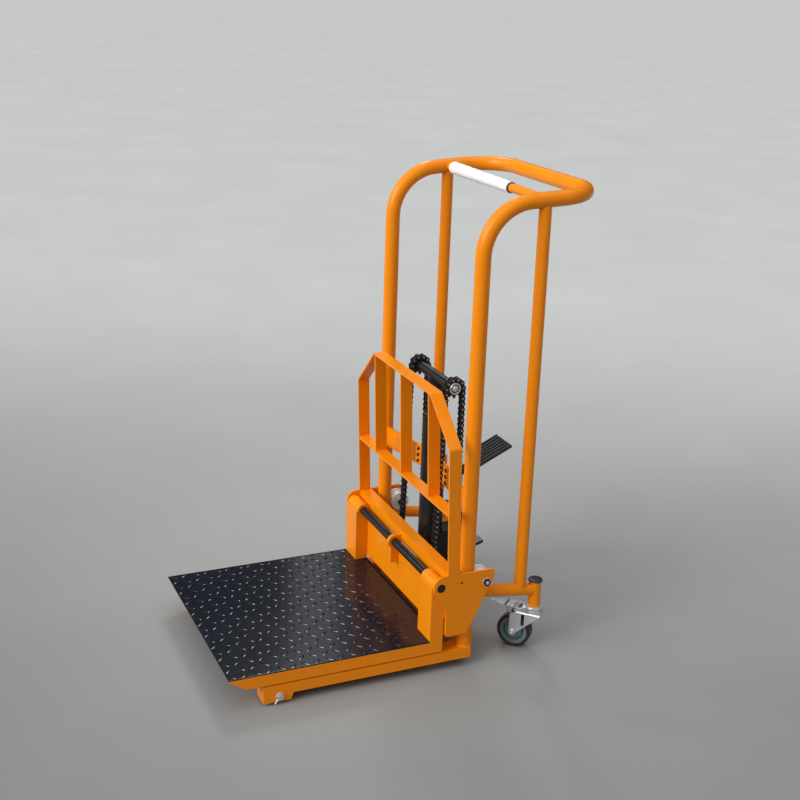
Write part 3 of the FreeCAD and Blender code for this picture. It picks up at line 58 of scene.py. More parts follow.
def new_group(name, inputs, outputs):
    """An empty node group with named float, colour or vector sockets."""
    tree = bpy.data.node_groups.new(name, "ShaderNodeTree")
    for label, kind, value in inputs:
        socket = tree.interface.new_socket(label, in_out="INPUT", socket_type=kind)
        if value is not None:
            socket.default_value = value
    for label, kind in outputs:
        tree.interface.new_socket(label, in_out="OUTPUT", socket_type=kind)
    return tree, tree.nodes.new("NodeGroupInput"), tree.nodes.new("NodeGroupOutput")


def make_tone_group():
    """Slow change of tone and gloss over a finish, and the height of its fine grain."""
    tree, start, end = new_group(
        "finish_tone",
        [
            ("Colour", "NodeSocketColor", (0.5, 0.5, 0.5, 1)),
            ("Patch Scale", "NodeSocketFloat", 6.0),
            ("Patch Depth", "NodeSocketFloat", 0.1),
            ("Roughness", "NodeSocketFloat", 0.3),
            ("Gloss Change", "NodeSocketFloat", 0.08),
            ("Grain Scale", "NodeSocketFloat", 900.0),
        ],
        [
            ("Colour", "NodeSocketColor"),
            ("Roughness", "NodeSocketFloat"),
            ("Height", "NodeSocketFloat"),
        ],
    )
    place = node_in(tree, "ShaderNodeTexCoord", (-900, 0))
    patch = node_in(tree, "ShaderNodeTexNoise", (-600, 150), Detail=3.0, Roughness=0.55)
    grain = node_in(tree, "ShaderNodeTexNoise", (-600, -250), Detail=2.0, Roughness=0.5)
    centre = node_in(tree, "ShaderNodeMath", (-400, 150))
    centre.operation = "SUBTRACT"
    centre.inputs[1].default_value = 0.5
    depth = node_in(tree, "ShaderNodeMath", (-200, 250))
    depth.operation = "MULTIPLY"
    lift = node_in(tree, "ShaderNodeMath", (0, 250))
    lift.operation = "ADD"
    lift.inputs[1].default_value = 1.0
    colour = node_in(tree, "ShaderNodeVectorMath", (200, 250))
    colour.operation = "SCALE"
    change = node_in(tree, "ShaderNodeMath", (-200, 0))
    change.operation = "MULTIPLY"
    gloss = node_in(tree, "ShaderNodeMath", (0, 0))
    gloss.operation = "ADD"
    link = tree.links.new
    link(place.outputs["Object"], patch.inputs["Vector"])
    link(place.outputs["Object"], grain.inputs["Vector"])
    link(start.outputs["Patch Scale"], patch.inputs["Scale"])
    link(start.outputs["Grain Scale"], grain.inputs["Scale"])
    link(patch.outputs["Fac"], centre.inputs[0])
    link(centre.outputs[0], depth.inputs[0])
    link(start.outputs["Patch Depth"], depth.inputs[1])
    link(depth.outputs[0], lift.inputs[0])
    link(start.outputs["Colour"], colour.inputs[0])
    link(lift.outputs[0], colour.inputs["Scale"])
    link(centre.outputs[0], change.inputs[0])
    link(start.outputs["Gloss Change"], change.inputs[1])
    link(change.outputs[0], gloss.inputs[0])
    link(start.outputs["Roughness"], gloss.inputs[1])
    link(colour.outputs[0], end.inputs["Colour"])
    link(gloss.outputs[0], end.inputs["Roughness"])
    link(grain.outputs["Fac"], end.inputs["Height"])
    return tree


tone_group = make_tone_group()


def finish(name, colour, roughness, patch=(6.0, 0.12), change=0.1, grain=(900.0, 0.0002),
           metallic=0.0, gleam=0.5):
    """A procedural finish: colour and gloss that change slowly, over a fine grain."""
    made = bpy.data.materials.new(name)
    made.use_nodes = True
    tree = made.node_tree
    shader = tree.nodes["Principled BSDF"]
    shader.inputs["Metallic"].default_value = metallic
    shader.inputs["Specular IOR Level"].default_value = gleam
    tone = node_in(tree, "ShaderNodeGroup", (-500, 200))
    tone.node_tree = tone_group
    tone.inputs["Colour"].default_value = (*colour, 1)
    tone.inputs["Patch Scale"].default_value = patch[0]
    tone.inputs["Patch Depth"].default_value = patch[1]
    tone.inputs["Roughness"].default_value = roughness
    tone.inputs["Gloss Change"].default_value = change
    tone.inputs["Grain Scale"].default_value = grain[0]
    bump = node_in(tree, "ShaderNodeBump", (-250, -200), Strength=0.5)
    bump.inputs["Distance"].default_value = grain[1]
    tree.links.new(tone.outputs["Colour"], shader.inputs["Base Color"])
    tree.links.new(tone.outputs["Roughness"], shader.inputs["Roughness"])
    tree.links.new(tone.outputs["Height"], bump.inputs["Height"])
    tree.links.new(bump.outputs["Normal"], shader.inputs["Normal"])
    return made


LOOKS = {
    "orange_paint": {
        "colour": (0.90, 0.265, 0.003), "roughness": 0.27,
        "patch": (5.0, 0.08), "change": 0.08, "grain": (420.0, 0.0001), "gleam": 0.24,
    },
    "black_paint": {
        "colour": (0.008, 0.008, 0.010), "roughness": 0.32,
        "patch": (7.0, 0.3), "change": 0.14, "grain": (420.0, 0.0002), "gleam": 0.34,
    },
    "black_tread": {
        "colour": (0.008, 0.010, 0.016), "roughness": 0.14,
        "patch": (4.0, 0.3), "change": 0.06, "grain": (260.0, 0.00002), "gleam": 0.28,
    },
    "black_plastic": {
        "colour": (0.02, 0.021, 0.024), "roughness": 0.38,
        "patch": (9.0, 0.2), "change": 0.12, "grain": (700.0, 0.0002),
    },
    "zinc_plate": {
        "colour": (0.70, 0.73, 0.78), "roughness": 0.3,
        "patch": (14.0, 0.3), "change": 0.2, "grain": (300.0, 0.0001), "metallic": 0.72,
    },
    "bright_steel": {
        "colour": (0.60, 0.59, 0.57), "roughness": 0.26,
        "patch": (18.0, 0.2), "change": 0.16, "grain": (500.0, 0.0001), "metallic": 1.0,
    },
    "chain_steel": {
        "colour": (0.03, 0.03, 0.034), "roughness": 0.36,
        "patch": (40.0, 0.5), "change": 0.25, "grain": (500.0, 0.0001), "metallic": 0.6,
    },
    "white_nylon": {
        "colour": (0.74, 0.73, 0.70), "roughness": 0.42,
        "patch": (12.0, 0.1), "change": 0.12, "grain": (500.0, 0.0002),
    },
    "white_film": {
        "colour": (0.92, 0.92, 0.92), "roughness": 0.34,
        "patch": (20.0, 0.08), "change": 0.2, "grain": (60.0, 0.002),
    },
    "caster_core": {
        "colour": (0.13, 0.22, 0.24), "roughness": 0.4,
        "patch": (14.0, 0.15), "change": 0.14, "grain": (500.0, 0.0002),
    },
    "maroon_tread": {
        "colour": (0.035, 0.010, 0.012), "roughness": 0.36,
        "patch": (16.0, 0.3), "change": 0.16, "grain": (300.0, 0.0002),
    },
    "front_wheel_nylon": {
        "colour": (0.16, 0.16, 0.155), "roughness": 0.45,
        "patch": (14.0, 0.2), "change": 0.15, "grain": (500.0, 0.0002),
    },
}
finishes = {name: finish(name, **look) for name, look in LOOKS.items()}

for node in nodes.values():
    for slot in node.material_slots:
        slot.material = finishes[slot.material.name]


# Stage, light and camera

def look_matrix(place, yaw, pitch, roll):
    """The camera's turn from its heading, its fall and its roll, in degrees."""
    yaw, pitch, roll = (math.radians(angle) for angle in (yaw, pitch, roll))
    ahead = Vector((-math.sin(yaw) * math.cos(pitch), math.cos(yaw) * math.cos(pitch), -math.sin(pitch)))
    right = Vector((math.cos(yaw), math.sin(yaw), 0))
    up = right.cross(ahead)
    across = math.cos(roll) * right + math.sin(roll) * up
    above = -math.sin(roll) * right + math.cos(roll) * up
    turned = Matrix((across, above, -ahead)).transposed().to_4x4()
    return Matrix.Translation(place) @ turned


CAMERA_PLACE = (3.1489, -1.3469, 1.8787)
CAMERA_YAW, CAMERA_PITCH, CAMERA_ROLL = 65.667, 18.833, 1.920
CAMERA_LENS, CAMERA_SENSOR = 58.02, 36

bpy.ops.object.select_all(action="DESELECT")
bpy.ops.object.camera_add()
camera = bpy.context.object
camera.name = "camera"
camera.data.lens = CAMERA_LENS
camera.data.sensor_width = CAMERA_SENSOR
camera.matrix_world = look_matrix(Vector(CAMERA_PLACE), CAMERA_YAW, CAMERA_PITCH, CAMERA_ROLL)
bpy.context.scene.camera = camera

FLOOR_GREY = (0.62, 0.637, 0.626)
FLOOR_SIZE, FLOOR_MIDDLE = 160, (-40, 20, 0)
# Painted shade on the floor: its colour darkens along this heading, from the far edge down to a fraction of
# its grey at the near edge.
NEAR_TO_FAR = (-0.86, 0.5, 0)
NEAR_EDGE, FAR_EDGE, NEAR_PAINTED_SHADE = -1.2, 4.1, 0.41


def paint_floor_shade(made):
    """Paints shade into a floor's colour: darker slowly towards the near side of the picture."""
    tree = made.node_tree
    shader = tree.nodes["Principled BSDF"]
    colour = shader.inputs["Base Color"].links[0].from_socket
    place = node_in(tree, "ShaderNodeTexCoord", (-900, 500))
    along = node_in(tree, "ShaderNodeVectorMath", (-700, 500))
    along.operation = "DOT_PRODUCT"
    along.inputs[1].default_value = NEAR_TO_FAR
    ramp = node_in(
        tree, "ShaderNodeMapRange", (-500, 500),
        From_Min=NEAR_EDGE, From_Max=FAR_EDGE, To_Min=NEAR_PAINTED_SHADE, To_Max=1.0,
    )
    ramp.interpolation_type = "SMOOTHSTEP"
    deep = node_in(tree, "ShaderNodeVectorMath", (-200, 400))
    deep.operation = "SCALE"
    tree.links.new(place.outputs["Object"], along.inputs[0])
    tree.links.new(along.outputs["Value"], ramp.inputs["Value"])
    tree.links.new(colour, deep.inputs[0])
    tree.links.new(ramp.outputs["Result"], deep.inputs["Scale"])
    tree.links.new(deep.outputs[0], shader.inputs["Base Color"])
    return made


bpy.ops.object.select_all(action="DESELECT")
bpy.ops.mesh.primitive_plane_add(size=FLOOR_SIZE, location=FLOOR_MIDDLE)
floor = bpy.context.object
floor.name = "floor"
bpy.ops.object.transform_apply(location=True, rotation=True, scale=True)
concrete = finish("concrete", FLOOR_GREY, 0.75, patch=(1.3, 0.16), grain=(90.0, 0.0004), gleam=0.2)
# The floor's colour carries painted shade, darker towards the near side.
floor.data.materials.append(paint_floor_shade(concrete))


def softbox(name, place, aim, size, power, cone):
    """A large soft lamp turned to a point, its light kept within a cone."""
    bpy.ops.object.select_all(action="DESELECT")
    bpy.ops.object.light_add(type="AREA", location=place)
    lamp = bpy.context.object
    lamp.name = name
    lamp.data.shape = "RECTANGLE"
    lamp.data.size, lamp.data.size_y = size
    lamp.data.energy = power
    lamp.data.spread = math.radians(cone)
    lamp.rotation_euler = (Vector(aim) - Vector(place)).to_track_quat("-Z", "Y").to_euler()
    return lamp


PLATFORM_MIDDLE = (0.1, -0.3, 0.1)
MAST_MIDDLE = (0, 0.25, 1.15)
softbox("window_light", (-3.79, 1.24, 2.23), PLATFORM_MIDDLE, size=(0.3, 1.6), power=0.03, cone=30)
softbox("rear_light", (-3.19, 1.0, 3.64), PLATFORM_MIDDLE, size=(0.7, 1.4), power=2.2, cone=30)
softbox("side_light", (-3.2, -2.8, 3.0), MAST_MIDDLE, size=(0.7, 2.8), power=2, cone=24)


def broad_sun(name, bearing, strength, spread):
    """Daylight from a broad part of the sky, falling along a bearing."""
    bpy.ops.object.select_all(action="DESELECT")
    bpy.ops.object.light_add(type="SUN", location=(0, 0, 5))
    lamp = bpy.context.object
    lamp.name = name
    lamp.data.energy = strength
    lamp.data.angle = math.radians(spread)
    lamp.rotation_euler = Vector(bearing).to_track_quat("-Z", "Y").to_euler()
    return lamp


broad_sun("front_light", bearing=(-0.13, 0.87, -0.47), strength=2.5, spread=40)
fill = broad_sun("fill_light", bearing=(-0.9, 0.1, -0.3), strength=0.8, spread=120)
fill.data.color = (1.0, 0.87, 0.74)


SKY_TINT = (0.95, 0.97, 1.0)
SKY_TOP, SKY_EDGE, SKY_START = 1.3, 0.07, 0.6
BACKDROP_GREY = (0.57, 0.575, 0.58)


def make_sky():
    """Even light from overhead that falls off to the horizon, with the floor's grey behind all."""
    world = bpy.data.worlds.new("room")
    world.use_nodes = True
    tree = world.node_tree
    sky = tree.nodes["Background"]
    sky.inputs["Color"].default_value = (*SKY_TINT, 1)
    place = node_in(tree, "ShaderNodeTexCoord", (-900, 0))
    split = node_in(tree, "ShaderNodeSeparateXYZ", (-700, 0))
    height = node_in(
        tree, "ShaderNodeMapRange", (-500, 0), From_Min=SKY_START, To_Min=SKY_EDGE, To_Max=SKY_TOP,
    )
    behind = node_in(tree, "ShaderNodeBackground", (-200, -200), Color=(*BACKDROP_GREY, 1))
    path = node_in(tree, "ShaderNodeLightPath", (-200, 300))
    choice = node_in(tree, "ShaderNodeMixShader", (100, 100))
    link = tree.links.new
    link(place.outputs["Generated"], split.inputs[0])
    link(split.outputs["Z"], height.inputs["Value"])
    link(height.outputs["Result"], sky.inputs["Strength"])
    link(path.outputs["Is Camera Ray"], choice.inputs["Fac"])
    link(sky.outputs[0], choice.inputs[1])
    link(behind.outputs[0], choice.inputs[2])
    link(choice.outputs[0], tree.nodes["World Output"].inputs["Surface"])
    return world


bpy.context.scene.world = make_sky()
bpy.context.scene.view_settings.view_transform = "Standard"


# Shop tools

MM = 0.001
AXES = {"x": Vector((1, 0, 0)), "y": Vector((0, 1, 0)), "z": Vector((0, 0, 1))}
RADIAL = {"x": Vector((0, 1, 0)), "y": Vector((0, 0, 1)), "z": Vector((1, 0, 0))}
UPRIGHT = {"x": (0, math.pi / 2, 0), "y": (-math.pi / 2, 0, 0), "z": (0, 0, 0)}
SIDES = (("right", 1), ("left", -1))
HANDS = (1, -1)
MIRROR = Matrix.Scale(-1, 4, AXES["x"])
MERGE = 1e-6

# Places on the machine, in millimetres
MAST_X, MAST_Y = 290, 165.5
STAY_Y, CROSS_TUBE_Z = 338.5, 1309
POST_Y = 388.5
BARREL_Y, GLAND_TOP = 188.9, 650
SPROCKET_Z = 760
CHEEK_IN, CHEEK_OUT = 318, 324
SHAFT_Y, SHAFT_Z = 73.5, 262
AXLE_Y, AXLE_Z = -386.5, 25
PEDAL_Y, PEDAL_Z = 245.5, 440


def mm(place):
    return Vector(place) * MM


def clear():
    bpy.ops.object.select_all(action="DESELECT")


def only(*objs):
    """Selects these objects alone, the first of them active."""
    clear()
    for obj in objs:
        obj.select_set(True)
    bpy.context.view_layer.objects.active = objs[0]


def apply_place():
    bpy.ops.object.transform_apply(location=True, rotation=True, scale=True)


def edit(kind):
    bpy.ops.object.mode_set(mode="EDIT")
    bpy.ops.mesh.select_mode(type=kind)
    bpy.ops.mesh.select_all(action="SELECT")


def leave():
    bpy.ops.object.mode_set(mode="OBJECT")


def round_edges(obj, edge, steps=2, sharp=35):
    """Breaks every sharp edge of a piece."""
    only(obj)
    edit("EDGE")
    bpy.ops.mesh.select_all(action="DESELECT")
    bpy.ops.mesh.edges_select_sharp(sharpness=math.radians(sharp))
    bpy.ops.mesh.bevel(offset=edge * MM, segments=steps, affect="EDGES")
    leave()
    return obj


def slab(low, high, edge=0.8, steps=2):
    """A block between two corners, its edges broken."""
    low, high = mm(low), mm(high)
    clear()
    bpy.ops.mesh.primitive_cube_add(size=1, location=(low + high) / 2, scale=high - low)
    apply_place()
    return round_edges(bpy.context.object, edge, steps)


def trace(points):
    """One corner extruded from point to point: a line of edges, left in edit mode."""
    clear()
    bpy.ops.mesh.primitive_plane_add(size=MM, location=points[0])
    apply_place()
    edit("VERT")
    bpy.ops.mesh.merge(type="CENTER")
    for here, there in zip(points, points[1:]):
        bpy.ops.mesh.extrude_vertices_move(TRANSFORM_OT_translate={"value": there - here})
    bpy.ops.mesh.select_all(action="SELECT")
    return bpy.context.object


def close_up():
    """Merges what meets and turns the faces outwards, then leaves edit mode."""
    bpy.ops.mesh.select_all(action="SELECT")
    bpy.ops.mesh.remove_doubles(threshold=MERGE)
    bpy.ops.mesh.normals_make_consistent(inside=False)
    leave()


def across(axis, along, first, second):
    """A point from its place along an axis and its two places across it."""
    order = {"x": (along, first, second), "y": (first, along, second), "z": (first, second, along)}
    return mm(order[axis])


def cut_plate(outline, axis, low, high, edge=0.8, steps=2):
    """A plate of an outline across an axis, from one place to another along it."""
    points = [across(axis, low, *pair) for pair in outline]
    plate = trace(points + points[:1])
    bpy.ops.mesh.remove_doubles(threshold=MERGE)
    bpy.ops.mesh.edge_face_add()
    bpy.ops.mesh.extrude_region_move(TRANSFORM_OT_translate={"value": AXES[axis] * (high - low) * MM})
    close_up()
    return round_edges(plate, edge, steps) if edge else plate


def lathe(profile, place, axis, steps=32, closed=False):
    """A turned piece: pairs of radius and height, spun about an axis through a place."""
    centre = mm(place)
    points = [centre + (RADIAL[axis] * radius + AXES[axis] * height) * MM for radius, height in profile]
    turned = trace(points + points[:1] if closed else points)
    bpy.ops.mesh.spin(steps=steps, angle=2 * math.pi, center=centre, axis=AXES[axis])
    close_up()
    return turned


def hexagon(place, axis, wide, length, edge=0.8):
    """A hexagon standing on a place along an axis, its corners broken."""
    clear()
    middle = mm(place) + AXES[axis] * length * MM / 2
    bpy.ops.mesh.primitive_cylinder_add(
        vertices=6, radius=wide * MM / math.sqrt(3), depth=abs(length) * MM,
        location=middle, rotation=UPRIGHT[axis],
    )
    apply_place()
    return round_edges(bpy.context.object, edge)


def bar(place, axis, radius, length, edge=0.5, sides=24):
    """A round bar standing on a place along an axis, its ends chamfered."""
    flat = radius - edge
    ends = [(0, 0), (flat, 0), (radius, edge), (radius, length - edge), (flat, length), (0, length)]
    return lathe(ends, place, axis, sides)


def rounded(points, radii, steps=5):
    """An outline with its corners rounded."""
    out = []
    count = len(points)
    for i, radius in enumerate(radii):
        corner = Vector(points[i])
        if not radius:
            out.append(tuple(corner))
            continue
        back = (Vector(points[i - 1]) - corner).normalized()
        ahead = (Vector(points[(i + 1) % count]) - corner).normalized()
        half = back.angle(ahead) / 2
        reach = radius / math.tan(half)
        centre = corner + (back + ahead).normalized() * radius / math.sin(half)
        first = corner + back * reach - centre
        last = corner + ahead * reach - centre
        for step in range(steps + 1):
            arm = first.normalized().slerp(last.normalized(), step / steps)
            out.append(tuple(centre + arm * radius))
    return out


def trim(obj, place, outward):
    """Cuts off what lies beyond a plane."""
    only(obj)
    edit("FACE")
    bpy.ops.mesh.bisect(plane_co=mm(place), plane_no=outward, use_fill=True, clear_outer=True)
    close_up()


def roughen(obj, depth, seed):
    """Small lumps all over a piece."""
    only(obj)
    edit("VERT")
    bpy.ops.transform.vertex_random(offset=depth * MM, uniform=0.2, normal=0.8, seed=seed)
    leave()
    return obj


def ring_weld(place, axis, radius, thick=3.0, seed=1):
    """A weld run round a tube."""
    turns = [step * math.pi / 3 for step in range(6)]
    section = [(radius + thick * math.cos(turn), thick * math.sin(turn)) for turn in turns]
    return roughen(lathe(section, place, axis, 40, closed=True), 0.5, seed)


def bead(place, axis, length, thick=2.2, seed=1):
    """A straight weld run that starts at a place and follows an axis."""
    count = max(4, int(length / 4))
    profile = [(0, 0)]
    for step in range(count):
        swell = 1.0 if step % 2 else 0.86
        profile.append((thick * swell, length * (step + 0.5) / count))
    profile.append((0, length))
    return roughen(lathe(profile, place, axis, 8), 0.25, seed)


def weld_run(points, thick, seed):
    """A weld laid along a closed line of points."""
    points = [mm(point) for point in points]
    trace(points + points[:1])
    bpy.ops.mesh.remove_doubles(threshold=MERGE)
    leave()
    bpy.ops.object.convert(target="CURVE")
    line = bpy.context.object
    line.data.bevel_depth = thick * MM
    line.data.bevel_resolution = 1
    bpy.ops.object.convert(target="MESH")
    edit("FACE")
    close_up()
    return roughen(bpy.context.object, 0.4, seed)


def carve(obj, tool, how="DIFFERENCE"):
    """Cuts a piece by another, which is then taken away."""
    only(obj)
    bpy.ops.object.modifier_add(type="BOOLEAN")
    cutter = obj.modifiers[-1]
    cutter.operation = how
    cutter.object = tool
    bpy.ops.object.modifier_apply(modifier=cutter.name)
    bpy.data.objects.remove(tool)
    return obj


def mirrored(obj):
    """The same piece for the left side."""
    moved(obj, MIRROR).data.flip_normals()
    return obj


def join(*objs):
    only(*objs)
    bpy.ops.object.join()
    return objs[0]


def copy_of(obj, matrix):
    """Another of the same piece, with a mesh of its own, put where a matrix says."""
    only(obj)
    bpy.ops.object.duplicate(linked=False)
    twin = bpy.context.object
    twin.data.transform(matrix)
    if matrix.determinant() < 0:
        twin.data.flip_normals()
    return twin


def moved(obj, matrix):
    obj.data.transform(matrix)
    return obj


def repeat(obj, count, step):
    """A row of the same piece, made by an array that is then applied."""
    only(obj)
    bpy.ops.object.modifier_add(type="ARRAY")
    row = obj.modifiers[-1]
    row.use_relative_offset = False
    row.use_constant_offset = True
    row.constant_offset_displace = mm(step)
    row.count = count
    bpy.ops.object.modifier_apply(modifier=row.name)
    return obj


def fit(obj, name, slot, body=None, replaced=(), smooth=35):
    """Names a finished piece, gives it its finish and fixes it to its body."""
    only(obj)
    bpy.ops.object.shade_smooth_by_angle(angle=math.radians(smooth))
    bpy.ops.object.modifier_add(type="WEIGHTED_NORMAL")
    even = obj.modifiers[-1]
    even.weight = 100
    even.keep_sharp = True
    bpy.ops.object.modifier_apply(modifier=even.name)
    obj.name = name
    obj.data.name = name
    obj.data.materials.clear()
    obj.data.materials.append(finishes[slot])
    if replaced:
        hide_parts(*replaced)
    if body:
        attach(obj, body)
    return obj


# Platform

def make_platform():
    """The black sheet with its rows of raised lens bars, and the tongue between the shanks."""
    wide, front, back = 317, -526.5, 48.5
    tongue, tongue_back = 234.8, 87.2
    low, top = 96, 100
    outline = [
        (-wide, front), (wide, front), (wide, back), (tongue, back),
        (tongue, tongue_back), (-tongue, tongue_back), (-tongue, back), (-wide, back),
    ]
    fit(cut_plate(outline, "z", low, top, 0.9), "tread_sheet", "black_tread", "platform", ["tread_plate"])
    lens_half, lens_ratio, sunk = 15, 0.34, 0.1
    clear()
    bpy.ops.mesh.primitive_circle_add(
        vertices=12, radius=lens_half * MM, fill_type="NGON", location=mm((0, 0, top - sunk)),
    )
    lens = bpy.context.object
    apply_place()
    edit("FACE")
    bpy.ops.transform.resize(value=(1, lens_ratio, 1))
    for rise, shrink in ((0.5, 0.86), (0.35, 0.66), (0.2, 0.5)):
        bpy.ops.mesh.extrude_region_move(TRANSFORM_OT_translate={"value": (0, 0, rise * MM)})
        bpy.ops.transform.resize(value=(shrink, shrink, 1))
    close_up()
    pitch = 34.0
    ahead = Matrix.Translation(mm((pitch, 0, 0)))
    slant, counter = (Matrix.Rotation(math.radians(turn), 4, "Z") for turn in (45, -45))
    pair = join(copy_of(lens, slant), copy_of(lens, ahead @ counter))
    other = join(copy_of(lens, counter), copy_of(lens, ahead @ slant))
    start_x, start_y, tongue_x = -306, -514.5, -204
    row_pairs, row_couples, tongue_pairs = 10, 8, 7
    last_y = start_y + 2 * row_couples * pitch
    cell = join(
        copy_of(pair, Matrix.Translation(mm((start_x, start_y, 0)))),
        copy_of(other, Matrix.Translation(mm((start_x, start_y + pitch, 0)))),
    )
    field = repeat(repeat(cell, row_pairs, (2 * pitch, 0, 0)), row_couples, (0, 2 * pitch, 0))
    last = repeat(copy_of(pair, Matrix.Translation(mm((start_x, last_y, 0)))), row_pairs, (2 * pitch, 0, 0))
    bars = join(field, last)
    inset = 2.0
    trim(bars, (inset - wide, 0, 0), (-1, 0, 0))
    trim(bars, (wide - inset, 0, 0), (1, 0, 0))
    trim(bars, (0, front + inset, 0), (0, -1, 0))
    rear = copy_of(pair, Matrix.Translation(mm((tongue_x, last_y + pitch, 0))))
    repeat(rear, tongue_pairs, (2 * pitch, 0, 0))
    trim(rear, (tongue - 5 * inset, 0, 0), (1, 0, 0))
    for spare in (lens, pair, other):
        bpy.data.objects.remove(spare)
    fit(join(bars, rear), "tread_bars", "black_tread", "platform", smooth=60)


# Lift chains

PITCH = 15.875
STRAND = 114.5
LINK_PLATE = 1.8
ROLLER, ROLLER_WIDE = 5.08, 9.6
PIN, PIN_LONG = 2.6, 19.4
SPROCKET_TEETH, SPROCKET_RADIUS = 10, 25.69


def link_plates(inside):
    """Both figure-eight plates of a link that stands on its lower pin."""
    height = 7.3
    waist = 4.9
    turns = (150, 185, 220, 252, 288, 320, 355, 30)
    lower = [(height * math.cos(math.radians(t)), height * math.sin(math.radians(t))) for t in turns]
    upper = [(-y, PITCH - z) for y, z in lower]
    outline = lower + [(waist, PITCH / 2)] + upper + [(-waist, PITCH / 2)]
    plate = cut_plate(outline, "x", inside, inside + LINK_PLATE, 0)
    return [plate, copy_of(plate, MIRROR)]


def stud(z, radius, width, sides):
    """A plain round across a link at a height."""
    return bar((-width / 2, 0, z), "x", radius, width, 0.3, sides)


def make_chains():
    """Roller chain links, laid up the rear, over the sprockets and down to the carriage."""
    inner_face, outer_face = 4.825, 6.825
    rollers = [stud(z, ROLLER, ROLLER_WIDE, 12) for z in (0, PITCH)]
    inner = join(*link_plates(inner_face), *rollers)
    outer = join(*link_plates(outer_face))
    pins = join(*[stud(z, PIN, PIN_LONG, 10) for z in (0, PITCH)])
    runs = (
        ("front", (148.5, 267.875), (163.2, SPROCKET_Z), 31, "carriage"),
        ("rear", (214.6, 236.125), (214.6, SPROCKET_Z), 33, "frame"),
    )
    for name, foot, head, links, body in runs:
        step = Vector((0, head[0] - foot[0], head[1] - foot[1])) / links
        lean = Matrix.Rotation(-math.atan2(step.y, step.z), 4, "X")
        strands, rods = [], []
        for side in HANDS:
            at = Matrix.Translation(mm((side * STRAND, *foot)))
            above = Matrix.Translation(mm(step)) @ at
            last = Matrix.Translation(mm(step * (links - 1))) @ at
            row = join(copy_of(outer, at @ lean), copy_of(inner, above @ lean))
            strands += [repeat(row, links // 2, 2 * step), copy_of(outer, last @ lean)]
            rods.append(repeat(copy_of(pins, at @ lean), links // 2 + 1, 2 * step))
        chain = fit(join(*strands), f"lift_chain_{name}", "chain_steel", replaced=[f"chain_{name}"])
        studs = fit(join(*rods), f"chain_pins_{name}", "bright_steel")
        for piece in (chain, studs):
            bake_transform(piece)
    tooth = 360 / SPROCKET_TEETH
    over, studs = [], []
    for side in HANDS:
        for step in range(SPROCKET_TEETH // 2):
            lean = Matrix.Rotation(math.radians(-tooth / 2 - tooth * step), 4, "X")
            spoke = math.radians(180 - tooth * step)
            y = BARREL_Y + SPROCKET_RADIUS * math.cos(spoke)
            z = SPROCKET_Z + SPROCKET_RADIUS * math.sin(spoke)
            at = Matrix.Translation(mm((side * STRAND, y, z))) @ lean
            over.append(copy_of(outer if step % 2 else inner, at))
            if step % 2:
                studs.append(copy_of(pins, at))
    fit(join(*over), "lift_chain_over", "chain_steel", "ram", ["chain_wrap"])
    fit(join(*studs), "chain_pins_over", "bright_steel", "ram")
    for spare in (inner, outer, pins):
        bpy.data.objects.remove(spare)


def make_gland_ring():
    """The bright edge of the ram's wiper on the gland."""
    ring = [(27.6, 0), (29.2, 0), (29.4, 1.4), (28.6, 2.2), (27.6, 2.2)]
    fit(lathe(ring, (0, BARREL_Y, GLAND_TOP), "z", 48, closed=True), "gland_ring", "bright_steel", "frame")


def make_sprocket_ends():
    """The bright ring and the bolt on each end of the crosshead, with a black disc on the floor of the recess
    between them: painted shade of the recess.
    """
    ends, recess_shades = [], []
    place = (119.8, BARREL_Y, SPROCKET_Z)
    for side in HANDS:
        ring = [(12.6, 0), (17, 0), (17, 3), (16.2, 4), (13.4, 4), (12.6, 3.2)]
        head = [(0, 0.4), (9.4, 0.4), (9.4, 2.2), (8.6, 3.2), (6.6, 3.6), (6.2, 5.6), (5.2, 6.4), (0, 6.6)]
        end = join(lathe(ring, place, "x", 40, closed=True), lathe(head, place, "x", 28))
        # A black disc at the recess floor: painted shade where the recess between ring and bolt lies.
        recess_shade = lathe([(0, 0), (12.7, 0), (12.7, 0.8), (9, 0.8), (0, 0.8)], place, "x", 28)
        ends.append(end if side > 0 else mirrored(end))
        recess_shades.append(recess_shade if side > 0 else mirrored(recess_shade))
    fit(join(*ends), "sprocket_end_rings", "zinc_plate", "ram", ["sprocket_caps"])
    fit(join(*recess_shades), "sprocket_recess_shade", "black_plastic", "ram")


# Carriage

def make_cheeks():
    """The cheeks with broken edges, the shaft's hole, a spare hole near the mast and a lip in front."""
    outline = [
        (51.5, 296), (235.5, 296), (235.5, 272), (156.5, 109), (91.5, 109), (91.5, 184), (51.5, 248),
    ]
    shape = rounded(outline, (30, 8, 8, 8, 8, 6, 6), 8)
    shaft_hole, spare_hole = 12.7, 4.5
    for word, side in SIDES:
        plate = cut_plate(shape, "x", CHEEK_IN, CHEEK_OUT, 0.8)
        carve(plate, bar((CHEEK_IN - 8, SHAFT_Y, SHAFT_Z), "x", shaft_hole, 20, 0.1, 40))
        carve(plate, bar((CHEEK_IN - 8, 135.5, 268), "x", spare_hole, 20, 0.1, 24))
        cheek = join(plate, slab((304, 91.5, 117), (CHEEK_IN + 0.4, 96.5, 167.7), 0.9))
        if side < 0:
            mirrored(cheek)
        fit(cheek, f"cheek_plate_{word}", "orange_paint", "carriage", [f"carriage_side_plate_{word}"])


